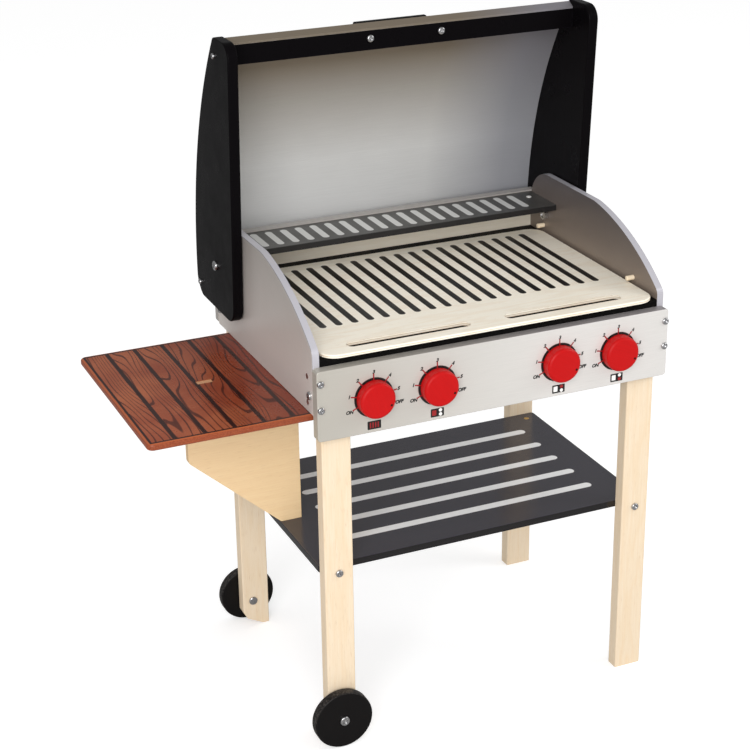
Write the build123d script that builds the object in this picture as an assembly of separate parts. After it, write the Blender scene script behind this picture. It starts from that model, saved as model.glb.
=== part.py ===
"""Toy barbecue grill on four legs: hood open, side table on the left, two wheels, four knobs.

Millimetres. X runs along the front panel to the right, Y to the back, Z up from the floor.
The lengths below are taken from the front face of the panel, the middle of the body and the
floor. At the end everything moves to the middle of the grill's own footprint.
"""
from build123d import *
from math import cos, radians, sin, sqrt
import os

# Body
BODY_WIDTH = 340.0
FRONT_PANEL_THICKNESS = 9.6
FRONT_PANEL_BOTTOM = 306.0
FRONT_PANEL_TOP = 370.0
FRONT_PANEL_CORNER = 3.0
SIDE_THICKNESS = 6.6
SIDE_BOTTOM = 326.5
SIDE_FRONT_TOP = 384.0
SIDE_TOP = 436.5
SIDE_TOP_FRONT = 125.0
SIDE_BOW = (56.0, 415.0)
SIDE_REAR_RADIUS = 32.0
BODY_REAR = 247.6
BACK_PANEL_THICKNESS = 9.6
BACK_PANEL_TOP = 413.2
EDGE_ROUND = 0.8

# Legs and shelf
LEG_WIDTH = 27.0
LEG_THICKNESS = 13.2
LEG_EDGE = 1.2
SHELF_TOP = 175.5
SHELF_THICKNESS = 6.6
FOOT_SIDE_CUT = (16.0, 3.8)
FOOT_HEEL_CUT = (8.6, 20.4)

# Wheels
WHEEL_RADIUS = 27.8
WHEEL_THICKNESS = 10.0
WHEEL_ROUND = 1.6
WHEEL_CLEARANCE = 0.2
AXLE_FROM_LEG_MIDDLE = 3.1
AXLE_WASHER = 1.6
AXLE_RADIUS = 3.0
WHEEL_END_PLAY = 0.3

# Side table and its bracket
TABLE_LEFT = -313.0
TABLE_FRONT = 14.0
TABLE_REAR = 223.0
TABLE_THICKNESS = 6.0
TABLE_CORNER = 6.0
TABLE_EDGE = 1.8
BRACKET_FRONT = 117.0
BRACKET_THICKNESS = 6.6
BRACKET_INNER = -142.5
BRACKET_OUTER = -248.0
BRACKET_FOOT = 20.0
BRACKET_NOSE = 252.0
BRACKET_CORNER = 6.0
TENON_MIDDLE = -228.5
TENON_LENGTH = 14.0
FOOT_TENON_LENGTH = 9.0
TENON_FIT = 0.05

# Bed, cooking board, pegs and rack
BED_THICKNESS = 6.6
BED_SIDE_GAP = 0.1
BED_GAP = 0.3
BOARD_THICKNESS = 3.4
BOARD_TOP = 380.0
BOARD_FRONT = 5.0
BOARD_REAR = 228.0
BOARD_SIDE_GAP = 2.9
BOARD_CORNER = 16.0
BOARD_EDGE = 1.0
GRIP_SLOT_LENGTH = 116.0
GRIP_SLOT_WIDTH = 11.0
GRIP_SLOT_MIDDLE = 75.0
GRIP_SLOT_FROM_FRONT = 17.7
PEG_RADIUS = 2.3
PEG_REACH = 7.4
PEG_GAP = 2.0
PEGS_FROM_FRONT = (51.0, 220.0)
RACK_TOP = 412.0
RACK_THICKNESS = 6.0
RACK_FRONT = 196.0

# Lid, given as it stands open
PIVOT = (216.0, 396.5)
PIVOT_RADIUS = 3.0
PIVOT_FIT = 0.05
LID_SIDE_GAP = 1.0
LID_BOARD_THICKNESS = 9.6
LID_TOP_REAR = (196.0, 611.5)
LID_BACK_BOW = (257.0, 489.0)
LID_BACK_FOOT = (273.0, 366.0)
LID_HEEL = (262.0, 353.0)
LID_TOE = (173.0, 352.0)
LID_TOP_FRONT = (156.5, 611.5)
LID_TOE_RADIUS = 16.0
LID_TOP_RADIUS = 14.0
LID_TOP_REAR_RADIUS = 5.0
LID_EDGE = 1.2
SHEET_INSET = 1.5
SHEET_THICKNESS = 1.5
SHEET_FOOT = 357.0
SHEET_LIP_HEIGHT = 604.2
SHEET_LIP_SLOPE = 30.0
FRONT_BAR_FACE = 188.5
FRONT_BAR_BOTTOM = 586.5
REAR_BAR_BOTTOM = 356.5
REAR_BAR_TOP = 374.9
REAR_BAR_GAP = 0.3
HANDLE_SCREW_HEIGHT = 597.0
HANDLE_SCREW_SPACING = 70.0
HANDLE_SCREW_RADIUS = 1.8
HANDLE_POST_RADIUS = 4.2
GRIP_FRONT = 217.0
GRIP_DEPTH = 11.0
GRIP_HEIGHT = 16.0

# Knobs
KNOB_RADIUS = 16.2
KNOB_DEPTH = 11.0
KNOB_ROUND = 3.0
KNOB_HEIGHT = 338.3
KNOB_PLACES = (-118.5, -59.3, 59.3, 118.5)
KNOB_CLEARANCE = 0.3
KNOB_BOLT_RADIUS = 2.0

# Fasteners: shank and head radius, head height, barrel nut radius
BOLT_RADIUS = 2.0
BOLT_FIT = 0.05
HEAD_RADIUS = 3.6
HEAD_HEIGHT = 2.2
BARREL_RADIUS = 2.6
BARREL_DEPTH = 12.0
PANEL_SCREW_HEIGHTS = (335.0, 358.7)
LEG_BOLT_HEIGHT = 343.0
BACK_SCREW_HEIGHTS = (358.0, 395.0)
RACK_BOLT_FROM_FRONT = 230.0
DOWEL_RADIUS = 2.0
DOWEL_LENGTH = 10.0
DOWEL_DEPTH = 4.2
DOWELS_FROM_FRONT = (54.0, 198.0)

HALF = BODY_WIDTH / 2
INNER = HALF - SIDE_THICKNESS
LEG_MIDDLE = INNER - LEG_WIDTH / 2
FRONT_LEG_REAR = FRONT_PANEL_THICKNESS + LEG_THICKNESS
REAR_LEG_FRONT = BODY_REAR - LEG_THICKNESS
SHELF_MIDDLE = SHELF_TOP - SHELF_THICKNESS / 2
BED_TOP = BOARD_TOP - BOARD_THICKNESS - BED_GAP
LEG_TOP = BED_TOP - BED_THICKNESS
TABLE_TOP = SIDE_BOTTOM
TABLE_BOTTOM = TABLE_TOP - TABLE_THICKNESS
AXLE_X = -(LEG_MIDDLE + AXLE_FROM_LEG_MIDDLE)
AXLE_Z = WHEEL_RADIUS + WHEEL_CLEARANCE
LID_INNER = HALF + LID_SIDE_GAP
LID_OUTER = LID_INNER + LID_BOARD_THICKNESS
BACK_FACE = BODY_REAR + BACK_PANEL_THICKNESS
SIDES = (-1, 1)


def block(x, y, z):
    """A box from three (low, high) pairs."""
    size = Box(x[1] - x[0], y[1] - y[0], z[1] - z[0])
    return Pos((x[0] + x[1]) / 2, (y[0] + y[1]) / 2, (z[0] + z[1]) / 2) * size


def rod(start, direction, radius, length):
    """A round bar from a start point along X, Y or Z; a minus sign turns it back."""
    turns = {
        "X": Rot(0, 90, 0), "-X": Rot(0, -90, 0),
        "Y": Rot(-90, 0, 0), "-Y": Rot(90, 0, 0),
        "Z": Rot(0, 0, 0), "-Z": Rot(180, 0, 0),
    }
    bar = Cylinder(radius, length, align=(Align.CENTER, Align.CENTER, Align.MIN))
    return Pos(*start) * turns[direction] * bar


def side_plate(face, low_x, high_x):
    """Extrude a face drawn in Y and Z between two X values."""
    return extrude(Plane.YZ.offset(low_x) * face, amount=high_x - low_x)


def upright_plate(face, low_y, high_y):
    """Extrude a face drawn in X and Z between two Y values."""
    return extrude(Plane.XZ.offset(-high_y) * face, amount=high_y - low_y)


def rounded(face, corners):
    """Round the corners of a face that lie nearest the given points."""
    for place, radius in corners:
        nearest = min(face.vertices(), key=lambda v: (v.X - place[0]) ** 2 + (v.Y - place[1]) ** 2)
        face = fillet(nearest, radius)
    return face


def bolt(face_point, direction, length, radius=BOLT_RADIUS, head=HEAD_RADIUS):
    """A round-headed bolt: its head stands on a face, its shank goes the given way."""
    outward = direction[1:] if direction.startswith("-") else "-" + direction
    dome = rod(face_point, outward, head, HEAD_HEIGHT)
    edge = dome.edges().filter_by(GeomType.CIRCLE).sort_by(lambda e: -distance(e.center(), face_point))
    dome = fillet(edge[0], HEAD_HEIGHT * 0.7)
    return dome + rod(face_point, direction, radius, length)


def distance(point, place):
    return sqrt(sum((a - b) ** 2 for a, b in zip(tuple(point), place)))


def circle_through(a, b, c):
    """Middle and radius of the circle through three points."""
    across = 2 * (a[0] * (b[1] - c[1]) + b[0] * (c[1] - a[1]) + c[0] * (a[1] - b[1]))
    squares = [p[0] ** 2 + p[1] ** 2 for p in (a, b, c)]
    middle_y = (squares[0] * (b[1] - c[1]) + squares[1] * (c[1] - a[1]) + squares[2] * (a[1] - b[1])) / across
    middle_z = (squares[0] * (c[0] - b[0]) + squares[1] * (a[0] - c[0]) + squares[2] * (b[0] - a[0])) / across
    return middle_y, middle_z, sqrt((a[0] - middle_y) ** 2 + (a[1] - middle_z) ** 2)


def front_panel():
    outline = Pos(0, (FRONT_PANEL_BOTTOM + FRONT_PANEL_TOP) / 2) * RectangleRounded(
        BODY_WIDTH, FRONT_PANEL_TOP - FRONT_PANEL_BOTTOM, FRONT_PANEL_CORNER)
    panel = upright_plate(outline, 0, FRONT_PANEL_THICKNESS)
    panel = fillet(panel.faces().sort_by(Axis.Y)[0].outer_wire().edges(), EDGE_ROUND)
    for x in KNOB_PLACES:
        panel -= rod((x, 0, KNOB_HEIGHT), "Y", KNOB_BOLT_RADIUS + BOLT_FIT, FRONT_PANEL_THICKNESS)
    return bored(panel, panel_screws())


def side_outline():
    """Straight at the front and below, bowed up to a flat top, round behind."""
    front = FRONT_PANEL_THICKNESS
    rear = BODY_REAR
    shoulder = SIDE_TOP - SIDE_REAR_RADIUS
    turn = SIDE_REAR_RADIUS * (1 - cos(radians(45)))
    return make_face([
        Line((front, SIDE_BOTTOM), (front, SIDE_FRONT_TOP)),
        ThreePointArc((front, SIDE_FRONT_TOP), SIDE_BOW, (SIDE_TOP_FRONT, SIDE_TOP)),
        Line((SIDE_TOP_FRONT, SIDE_TOP), (rear - SIDE_REAR_RADIUS, SIDE_TOP)),
        ThreePointArc((rear - SIDE_REAR_RADIUS, SIDE_TOP), (rear - turn, SIDE_TOP - turn), (rear, shoulder)),
        Line((rear, shoulder), (rear, SIDE_BOTTOM)),
        Line((rear, SIDE_BOTTOM), (front, SIDE_BOTTOM)),
    ])


def side_panel(side):
    outline = rounded(side_outline(), [((SIDE_TOP_FRONT, SIDE_TOP), 60.0), ((FRONT_PANEL_THICKNESS, SIDE_FRONT_TOP), 8.0)])
    low, high = sorted((side * INNER, side * HALF))
    panel = side_plate(outline, low, high)
    outer = panel.faces().sort_by(Axis.X)[-1 if side > 0 else 0]
    panel = fillet(outer.outer_wire().edges(), EDGE_ROUND)
    panel = bored(panel, panel_screws(), panel_barrels(), leg_bolts(), back_screws(), rack_bolts())
    if side < 0:
        panel = bored(panel, table_dowels())
    for y, z in peg_places():
        panel -= rod((side * INNER, y, z), "X" if side > 0 else "-X", PEG_RADIUS, SIDE_THICKNESS / 2)
    pivot = rod((side * INNER, *PIVOT), "X" if side > 0 else "-X", PIVOT_RADIUS + PIVOT_FIT, SIDE_THICKNESS)
    return panel - pivot


def back_panel():
    outline = Pos(0, (SIDE_BOTTOM + BACK_PANEL_TOP) / 2) * RectangleRounded(
        BODY_WIDTH, BACK_PANEL_TOP - SIDE_BOTTOM, FRONT_PANEL_CORNER)
    panel = upright_plate(outline, BODY_REAR, BACK_FACE)
    panel = fillet(panel.faces().sort_by(Axis.Y)[-1].outer_wire().edges(), EDGE_ROUND)
    return bored(panel, back_screws())


def leg(side, front_y):
    low, high = sorted((side * INNER, side * (INNER - LEG_WIDTH)))
    post = block((low, high), (front_y, front_y + LEG_THICKNESS), (0, LEG_TOP))
    post = fillet(post.edges().filter_by(Axis.Z), LEG_EDGE)
    if side < 0:
        post -= foot_cut(front_y)
        post -= rod((AXLE_X, front_y, AXLE_Z), "Y", AXLE_RADIUS, LEG_THICKNESS)
    return bored(post, leg_bolts(), leg_barrels(), shelf_bolts())


def foot_cut(front_y):
    """The wheeled feet are cut back below so that the grill can be tipped on its wheels."""
    outer = -INNER
    side_height, side_depth = FOOT_SIDE_CUT
    heel_height, heel_depth = FOOT_HEEL_CUT
    face = make_face(Polyline(
        (outer, side_height), (outer + side_depth, heel_height), (outer + heel_depth, 0),
        (outer + heel_depth, -1), (outer - 1, -1), (outer - 1, side_height), (outer, side_height)))
    return upright_plate(face, front_y - 1, front_y + LEG_THICKNESS + 1)


def bottom_shelf():
    board = block((-INNER, INNER), (FRONT_LEG_REAR, REAR_LEG_FRONT), (SHELF_TOP - SHELF_THICKNESS, SHELF_TOP))
    board = fillet(board.edges().filter_by(Axis.Z), 3.0)
    board = fillet(board.faces().sort_by(Axis.Z)[-1].outer_wire().edges(), EDGE_ROUND)
    board -= foot_tenon(TENON_FIT)
    return bored(board, shelf_bolts(BOLT_RADIUS + BOLT_FIT), shelf_barrels(BARREL_RADIUS + BOLT_FIT))


def side_table():
    width = -INNER - TABLE_LEFT
    depth = TABLE_REAR - TABLE_FRONT
    outline = Pos((TABLE_LEFT - INNER) / 2, (TABLE_FRONT + TABLE_REAR) / 2) * Rectangle(width, depth)
    outline = rounded(outline, [((TABLE_LEFT, y), TABLE_CORNER) for y in (TABLE_FRONT, TABLE_REAR)])
    top = extrude(Plane.XY.offset(TABLE_BOTTOM) * outline, amount=TABLE_THICKNESS)
    loose = [e for e in top.edges() if e.center().X < -HALF and abs(e.tangent_at(0.5).Z) < 0.5]
    top = fillet(loose, TABLE_EDGE)
    top -= block((TENON_MIDDLE - TENON_LENGTH / 2 - TENON_FIT, TENON_MIDDLE + TENON_LENGTH / 2 + TENON_FIT),
                 (BRACKET_FRONT - TENON_FIT, BRACKET_FRONT + BRACKET_THICKNESS + TENON_FIT),
                 (TABLE_BOTTOM, TABLE_TOP))
    return bored(top, table_dowels(DOWEL_RADIUS + BOLT_FIT))


def foot_tenon(grow=0.0):
    """The short tongue on which the bracket stands in the shelf."""
    middle = BRACKET_INNER - BRACKET_FOOT / 2
    half = FOOT_TENON_LENGTH / 2 + grow
    return block((middle - half, middle + half),
                 (BRACKET_FRONT - grow, BRACKET_FRONT + BRACKET_THICKNESS + grow),
                 (SHELF_TOP - SHELF_THICKNESS, SHELF_TOP))


def table_bracket():
    foot = BRACKET_INNER - BRACKET_FOOT
    outline = make_face(Polyline(
        (BRACKET_INNER, SHELF_TOP), (BRACKET_INNER, TABLE_BOTTOM), (BRACKET_OUTER, TABLE_BOTTOM),
        (BRACKET_OUTER, BRACKET_NOSE), (foot, SHELF_TOP), (BRACKET_INNER, SHELF_TOP)))
    outline = rounded(outline, [((BRACKET_OUTER, BRACKET_NOSE), BRACKET_CORNER), ((foot, SHELF_TOP), 3.0)])
    plate = upright_plate(outline, BRACKET_FRONT, BRACKET_FRONT + BRACKET_THICKNESS)
    plate += block((TENON_MIDDLE - TENON_LENGTH / 2, TENON_MIDDLE + TENON_LENGTH / 2),
                   (BRACKET_FRONT, BRACKET_FRONT + BRACKET_THICKNESS), (TABLE_BOTTOM, TABLE_TOP - 0.3))
    return plate + foot_tenon()


def warming_rack():
    rack = block((-INNER + 0.1, INNER - 0.1), (RACK_FRONT, BODY_REAR - 0.1), (RACK_TOP - RACK_THICKNESS, RACK_TOP))
    rack = fillet([e for e in rack.edges().filter_by(Axis.X) if e.center().Y < RACK_FRONT + 1], EDGE_ROUND)
    return bored(rack, rack_bolts(), rack_barrels())


def grill_bed():
    """The black board that the legs carry and the cooking board lies on."""
    reach = INNER - BED_SIDE_GAP
    bed = block((-reach, reach), (FRONT_PANEL_THICKNESS, BODY_REAR), (LEG_TOP, BED_TOP))
    return fillet(bed.faces().sort_by(Axis.Z)[-1].edges().sort_by(Axis.Y)[0], EDGE_ROUND)


def cooking_board():
    half = INNER - BOARD_SIDE_GAP
    outline = Pos(0, (BOARD_FRONT + BOARD_REAR) / 2) * RectangleRounded(
        2 * half, BOARD_REAR - BOARD_FRONT, BOARD_CORNER)
    board = extrude(Plane.XY.offset(BOARD_TOP - BOARD_THICKNESS) * outline, amount=BOARD_THICKNESS)
    rims = [board.faces().sort_by(Axis.Z)[n].outer_wire().edges() for n in (0, -1)]
    board = fillet(rims[0] + rims[1], BOARD_EDGE)
    slot = SlotOverall(GRIP_SLOT_LENGTH, GRIP_SLOT_WIDTH)
    for side in SIDES:
        place = Pos(side * GRIP_SLOT_MIDDLE, BOARD_FRONT + GRIP_SLOT_FROM_FRONT, BOARD_TOP - BOARD_THICKNESS)
        board -= place * extrude(slot, amount=BOARD_THICKNESS)
    return board


def peg_places():
    """Y and Z of the pegs in each side panel, just above the board."""
    return [(y, BOARD_TOP + PEG_GAP + PEG_RADIUS) for y in PEGS_FROM_FRONT]


def retaining_pegs():
    """They keep the board from lifting."""
    group = []
    for side in SIDES:
        for y, z in peg_places():
            end = side * (INNER - PEG_REACH)
            peg = rod((end, y, z), "X" if side > 0 else "-X", PEG_RADIUS, PEG_REACH + SIDE_THICKNESS / 2)
            tip = peg.edges().filter_by(GeomType.CIRCLE).sort_by(lambda e: abs(e.center().X))[0]
            group.append(fillet(tip, 0.8))
    return group


def panel_screws():
    """Two at each end of the front panel, into the side panels' edges."""
    length = FRONT_PANEL_THICKNESS + BARREL_DEPTH
    return [bolt((side * (HALF - SIDE_THICKNESS / 2), 0, z), "Y", length, radius=1.5, head=3.2)
            for side in SIDES for z in PANEL_SCREW_HEIGHTS]


def panel_barrels():
    """The cross dowels that these screws pull on, flush with the side panels."""
    group = []
    for side in SIDES:
        for z in PANEL_SCREW_HEIGHTS:
            start = (side * INNER, FRONT_PANEL_THICKNESS + BARREL_DEPTH, z)
            barrel = rod(start, "X" if side > 0 else "-X", BARREL_RADIUS, SIDE_THICKNESS)
            group.append(barrel - rod((side * (HALF - SIDE_THICKNESS / 2), 0, z), "Y", 1.5, start[1]))
    return group


def leg_bolts():
    """Through each side panel into the legs behind it."""
    group = []
    for side in SIDES:
        for y in leg_middles():
            start = (side * HALF, y, LEG_BOLT_HEIGHT)
            group.append(bolt(start, "-X" if side > 0 else "X", SIDE_THICKNESS + BARREL_DEPTH))
    return group


def leg_middles():
    return (FRONT_PANEL_THICKNESS + LEG_THICKNESS / 2, BODY_REAR - LEG_THICKNESS / 2)


def leg_barrels():
    group = []
    for side in SIDES:
        for y in leg_middles():
            x = side * (INNER - BARREL_DEPTH)
            barrel = rod((x, y - LEG_THICKNESS / 2, LEG_BOLT_HEIGHT), "Y", BARREL_RADIUS, LEG_THICKNESS)
            group.append(barrel - rod((side * HALF, y, LEG_BOLT_HEIGHT), "-X" if side > 0 else "X",
                                      BOLT_RADIUS, SIDE_THICKNESS + BARREL_DEPTH))
    return group


def shelf_bolts(radius=BOLT_RADIUS):
    """From the outside of each leg into the shelf's edge."""
    length = LEG_THICKNESS + BARREL_DEPTH
    group = []
    for side in SIDES:
        for y, way in ((FRONT_PANEL_THICKNESS, "Y"), (BODY_REAR, "-Y")):
            group.append(bolt((side * LEG_MIDDLE, y, SHELF_MIDDLE), way, length, radius=radius))
    return group


def shelf_barrels(radius=BARREL_RADIUS):
    group = []
    for side in SIDES:
        for y, way in ((FRONT_LEG_REAR + BARREL_DEPTH, "-Y"), (REAR_LEG_FRONT - BARREL_DEPTH, "Y")):
            barrel = rod((side * LEG_MIDDLE, y, SHELF_TOP - SHELF_THICKNESS), "Z", radius, SHELF_THICKNESS)
            group.append(barrel - rod((side * LEG_MIDDLE, y, SHELF_MIDDLE), way, BOLT_RADIUS, BARREL_DEPTH))
    return group


def rack_bolts():
    """Flush in the side panels, because the lid's boards pass over them."""
    group = []
    for side in SIDES:
        way = "-X" if side > 0 else "X"
        start = (side * HALF, RACK_BOLT_FROM_FRONT, RACK_TOP - RACK_THICKNESS / 2)
        head = rod(start, way, HEAD_RADIUS, 1.6)
        group.append(head + rod(start, way, BOLT_RADIUS, SIDE_THICKNESS + BARREL_DEPTH))
    return group


def rack_barrels():
    group = []
    for side in SIDES:
        x = side * (INNER - BARREL_DEPTH)
        barrel = rod((x, RACK_BOLT_FROM_FRONT, RACK_TOP - RACK_THICKNESS), "Z", BARREL_RADIUS, RACK_THICKNESS)
        start = (side * HALF, RACK_BOLT_FROM_FRONT, RACK_TOP - RACK_THICKNESS / 2)
        group.append(barrel - rod(start, "-X" if side > 0 else "X", BOLT_RADIUS, SIDE_THICKNESS + BARREL_DEPTH))
    return group


def back_screws():
    """Through the back panel into the side panels' rear edges."""
    length = BACK_PANEL_THICKNESS + BARREL_DEPTH
    return [bolt((side * (HALF - SIDE_THICKNESS / 2), BACK_FACE - HEAD_HEIGHT, z), "-Y", length - HEAD_HEIGHT,
                 radius=1.5, head=2.8)
            for side in SIDES for z in BACK_SCREW_HEIGHTS]


def table_dowels(radius=DOWEL_RADIUS):
    """Wooden dowels between the left side panel's bottom edge and the table."""
    x = -(HALF - SIDE_THICKNESS / 2)
    low = TABLE_TOP - DOWEL_DEPTH
    return [rod((x, y, low), "Z", radius, DOWEL_LENGTH) for y in DOWELS_FROM_FRONT]


def bored(shape, *groups):
    """Take away, one by one, the fasteners that pass through a shape."""
    for group in groups:
        for fastener in group:
            shape = shape - fastener
    return shape


def lid_circle():
    return circle_through(LID_TOP_REAR, LID_BACK_BOW, LID_BACK_FOOT)


def lid_disc(inset):
    """Everything inside the bow of the lid's back, less an inset, as a face in Y and Z."""
    middle_y, middle_z, radius = lid_circle()
    return Pos(middle_y, middle_z) * Circle(radius - inset)


def strip(low, high):
    """A rectangle between two corners in Y and Z."""
    return Pos((low[0] + high[0]) / 2, (low[1] + high[1]) / 2) * Rectangle(high[0] - low[0], high[1] - low[1])


def below_lip(rise):
    """The half plane under the sheet's sloping front lip, which is raised by a rise."""
    reach = 150.0
    slope = radians(SHEET_LIP_SLOPE)
    y, z = FRONT_BAR_FACE, SHEET_LIP_HEIGHT + rise / cos(slope)
    far = (y + reach * cos(slope), z + reach * sin(slope))
    return make_face(Polyline((y, z), far, (far[0] + reach, far[1]), (far[0] + reach, SHEET_FOOT),
                              (y, SHEET_FOOT), (y, z)))


def lid_board(side):
    outline = make_face([
        Line(LID_TOE, LID_TOP_FRONT),
        Line(LID_TOP_FRONT, LID_TOP_REAR),
        ThreePointArc(LID_TOP_REAR, LID_BACK_BOW, LID_BACK_FOOT),
        Line(LID_BACK_FOOT, LID_HEEL),
        Line(LID_HEEL, LID_TOE),
    ])
    outline = rounded(outline, [
        (LID_TOE, LID_TOE_RADIUS), (LID_TOP_FRONT, LID_TOP_RADIUS), (LID_TOP_REAR, LID_TOP_REAR_RADIUS),
        (LID_HEEL, LID_TOP_RADIUS), (LID_BACK_FOOT, LID_TOP_RADIUS)])
    low, high = sorted((side * LID_INNER, side * LID_OUTER))
    board = side_plate(outline, low, high)
    board = fillet([e for f in board.faces().filter_by(Axis.X) for e in f.outer_wire().edges()], LID_EDGE)
    start = (side * LID_INNER, *PIVOT)
    board -= rod(start, "X" if side > 0 else "-X", PIVOT_RADIUS + PIVOT_FIT, LID_BOARD_THICKNESS)
    return bored(board, lid_bar_screws())


def lid_sheet():
    """One bent sheet: it follows the bow of the boards and folds down over the front bar."""
    outer = lid_disc(SHEET_INSET) & below_lip(SHEET_THICKNESS) & strip((FRONT_BAR_FACE, SHEET_FOOT), (300, 620))
    inner = lid_disc(SHEET_INSET + SHEET_THICKNESS) & below_lip(0)
    sheet = side_plate(outer - inner, -LID_INNER, LID_INNER)
    return bored(sheet, handle_screws())


def lid_front_bar():
    """Planed behind and on top to fit the inside of the sheet."""
    face = lid_disc(SHEET_INSET + SHEET_THICKNESS) & below_lip(0)
    face = face & strip((FRONT_BAR_FACE, FRONT_BAR_BOTTOM), (300, 620))
    bar = side_plate(face, -LID_INNER, LID_INNER)
    return bored(bar, handle_screws(), lid_bar_screws())


def lid_rear_bar():
    """It meets the back panel when the lid is fully open."""
    face = lid_disc(SHEET_INSET + SHEET_THICKNESS)
    face = face & strip((BACK_FACE + REAR_BAR_GAP, REAR_BAR_BOTTOM), (300, REAR_BAR_TOP))
    bar = side_plate(face, -LID_INNER, LID_INNER)
    return bored(bar, lid_bar_screws())


def lid_bar_screws():
    """Through the boards into both ends of both bars."""
    places = [(FRONT_BAR_FACE + 5.5, (FRONT_BAR_BOTTOM + SHEET_LIP_HEIGHT) / 2),
              (BACK_FACE + REAR_BAR_GAP + 6.0, (REAR_BAR_BOTTOM + REAR_BAR_TOP) / 2)]
    return [bolt((side * LID_OUTER, y, z), "-X" if side > 0 else "X", LID_BOARD_THICKNESS + 14, radius=1.5, head=2.6)
            for side in SIDES for y, z in places]


def handle_screws():
    """From the front bar's face through the sheet and the posts into the grip."""
    return [bolt((side * HANDLE_SCREW_SPACING / 2, FRONT_BAR_FACE, HANDLE_SCREW_HEIGHT), "Y",
                 GRIP_FRONT + 6 - FRONT_BAR_FACE, radius=HANDLE_SCREW_RADIUS, head=3.4)
            for side in SIDES]


def handle_posts():
    inside = side_plate(lid_disc(SHEET_INSET), -LID_INNER, LID_INNER)
    group = []
    for side in SIDES:
        start = (side * HANDLE_SCREW_SPACING / 2, FRONT_BAR_FACE, HANDLE_SCREW_HEIGHT)
        post = rod(start, "Y", HANDLE_POST_RADIUS, GRIP_FRONT + GRIP_DEPTH - FRONT_BAR_FACE)
        tip = post.edges().filter_by(GeomType.CIRCLE).sort_by(Axis.Y)[-1]
        post = fillet(tip, 1.5)
        group.append(post - inside - rod(start, "Y", HANDLE_SCREW_RADIUS, GRIP_FRONT + 6 - FRONT_BAR_FACE))
    return group


def handle_grip():
    """The bar between the two posts, hollowed at its ends to fit round them."""
    low = HANDLE_SCREW_HEIGHT - GRIP_HEIGHT / 2
    half = HANDLE_SCREW_SPACING / 2
    grip = block((-half, half), (GRIP_FRONT, GRIP_FRONT + GRIP_DEPTH), (low, low + GRIP_HEIGHT))
    grip = fillet(grip.edges().filter_by(Axis.X), 4.0)
    for side in SIDES:
        grip -= rod((side * half, GRIP_FRONT, HANDLE_SCREW_HEIGHT), "Y", HANDLE_POST_RADIUS, GRIP_DEPTH)
    return grip


def pivot_bolts():
    """The lid turns on these: the head lies on the lid's board, the thread ends inside the body."""
    group = []
    for side in SIDES:
        way = "-X" if side > 0 else "X"
        start = (side * (LID_OUTER + 0.2), *PIVOT)
        group.append(bolt(start, way, LID_OUTER + 0.2 - INNER + 4.0, radius=PIVOT_RADIUS, head=4.6))
    return group


def pivot_nuts():
    group = []
    for side in SIDES:
        way = "-X" if side > 0 else "X"
        nut = extrude(RegularPolygon(5.0, 6), amount=4.0) - Cylinder(PIVOT_RADIUS, 20)
        turn = Rot(0, -90, 0) if side > 0 else Rot(0, 90, 0)
        group.append(Pos(side * INNER, *PIVOT) * turn * nut)
    return group


def pivot_washers():
    """They keep the lid's boards off the side panels."""
    group = []
    for side in SIDES:
        way = "X" if side > 0 else "-X"
        start = (side * HALF, *PIVOT)
        ring = rod(start, way, 6.0, LID_SIDE_GAP - 0.1) - rod(start, way, PIVOT_RADIUS, LID_SIDE_GAP)
        group.append(ring)
    return group


def knob(x):
    """A turned wooden button with a round front edge."""
    start = (x, -KNOB_CLEARANCE, KNOB_HEIGHT)
    button = rod(start, "-Y", KNOB_RADIUS, KNOB_DEPTH - KNOB_CLEARANCE)
    rims = button.edges().filter_by(GeomType.CIRCLE).sort_by(Axis.Y)
    button = fillet(rims[0], KNOB_ROUND)
    back = button.edges().filter_by(GeomType.CIRCLE).sort_by(Axis.Y)[-1]
    button = fillet(back, EDGE_ROUND)
    return button - rod(start, "-Y", KNOB_BOLT_RADIUS, KNOB_DEPTH * 0.6)


def knob_bolt(x):
    """It holds the knob from behind the panel and turns with it."""
    rear = FRONT_PANEL_THICKNESS + KNOB_CLEARANCE
    return bolt((x, rear, KNOB_HEIGHT), "-Y", rear + KNOB_DEPTH * 0.6, radius=KNOB_BOLT_RADIUS, head=4.5)


def wheel_sides():
    """For each wheel: the leg face that it turns beside, and the way that it lies from it."""
    return {"front": (FRONT_PANEL_THICKNESS, -1), "rear": (BODY_REAR, 1)}


def wheel(end):
    face, way = wheel_sides()[end]
    near = face + way * (AXLE_WASHER + WHEEL_END_PLAY)
    low, high = sorted((near, near + way * WHEEL_THICKNESS))
    disc = rod((AXLE_X, low, AXLE_Z), "Y", WHEEL_RADIUS, WHEEL_THICKNESS)
    disc = fillet(disc.edges().filter_by(GeomType.CIRCLE), WHEEL_ROUND)
    return disc - rod((AXLE_X, low, AXLE_Z), "Y", AXLE_RADIUS + 0.08, WHEEL_THICKNESS)


def axle_reach():
    return AXLE_WASHER + WHEEL_THICKNESS + 2 * WHEEL_END_PLAY


def axle_bolts():
    group = []
    for face, way in wheel_sides().values():
        start = (AXLE_X, face + way * axle_reach(), AXLE_Z)
        group.append(bolt(start, "Y" if way < 0 else "-Y", axle_reach() + LEG_THICKNESS, radius=AXLE_RADIUS, head=4.6))
    return group


def axle_washers():
    group = []
    for face, way in wheel_sides().values():
        direction = "Y" if way > 0 else "-Y"
        ring = rod((AXLE_X, face, AXLE_Z), direction, 6.0, AXLE_WASHER)
        group.append(ring - rod((AXLE_X, face, AXLE_Z), direction, AXLE_RADIUS, AXLE_WASHER))
    return group


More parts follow.
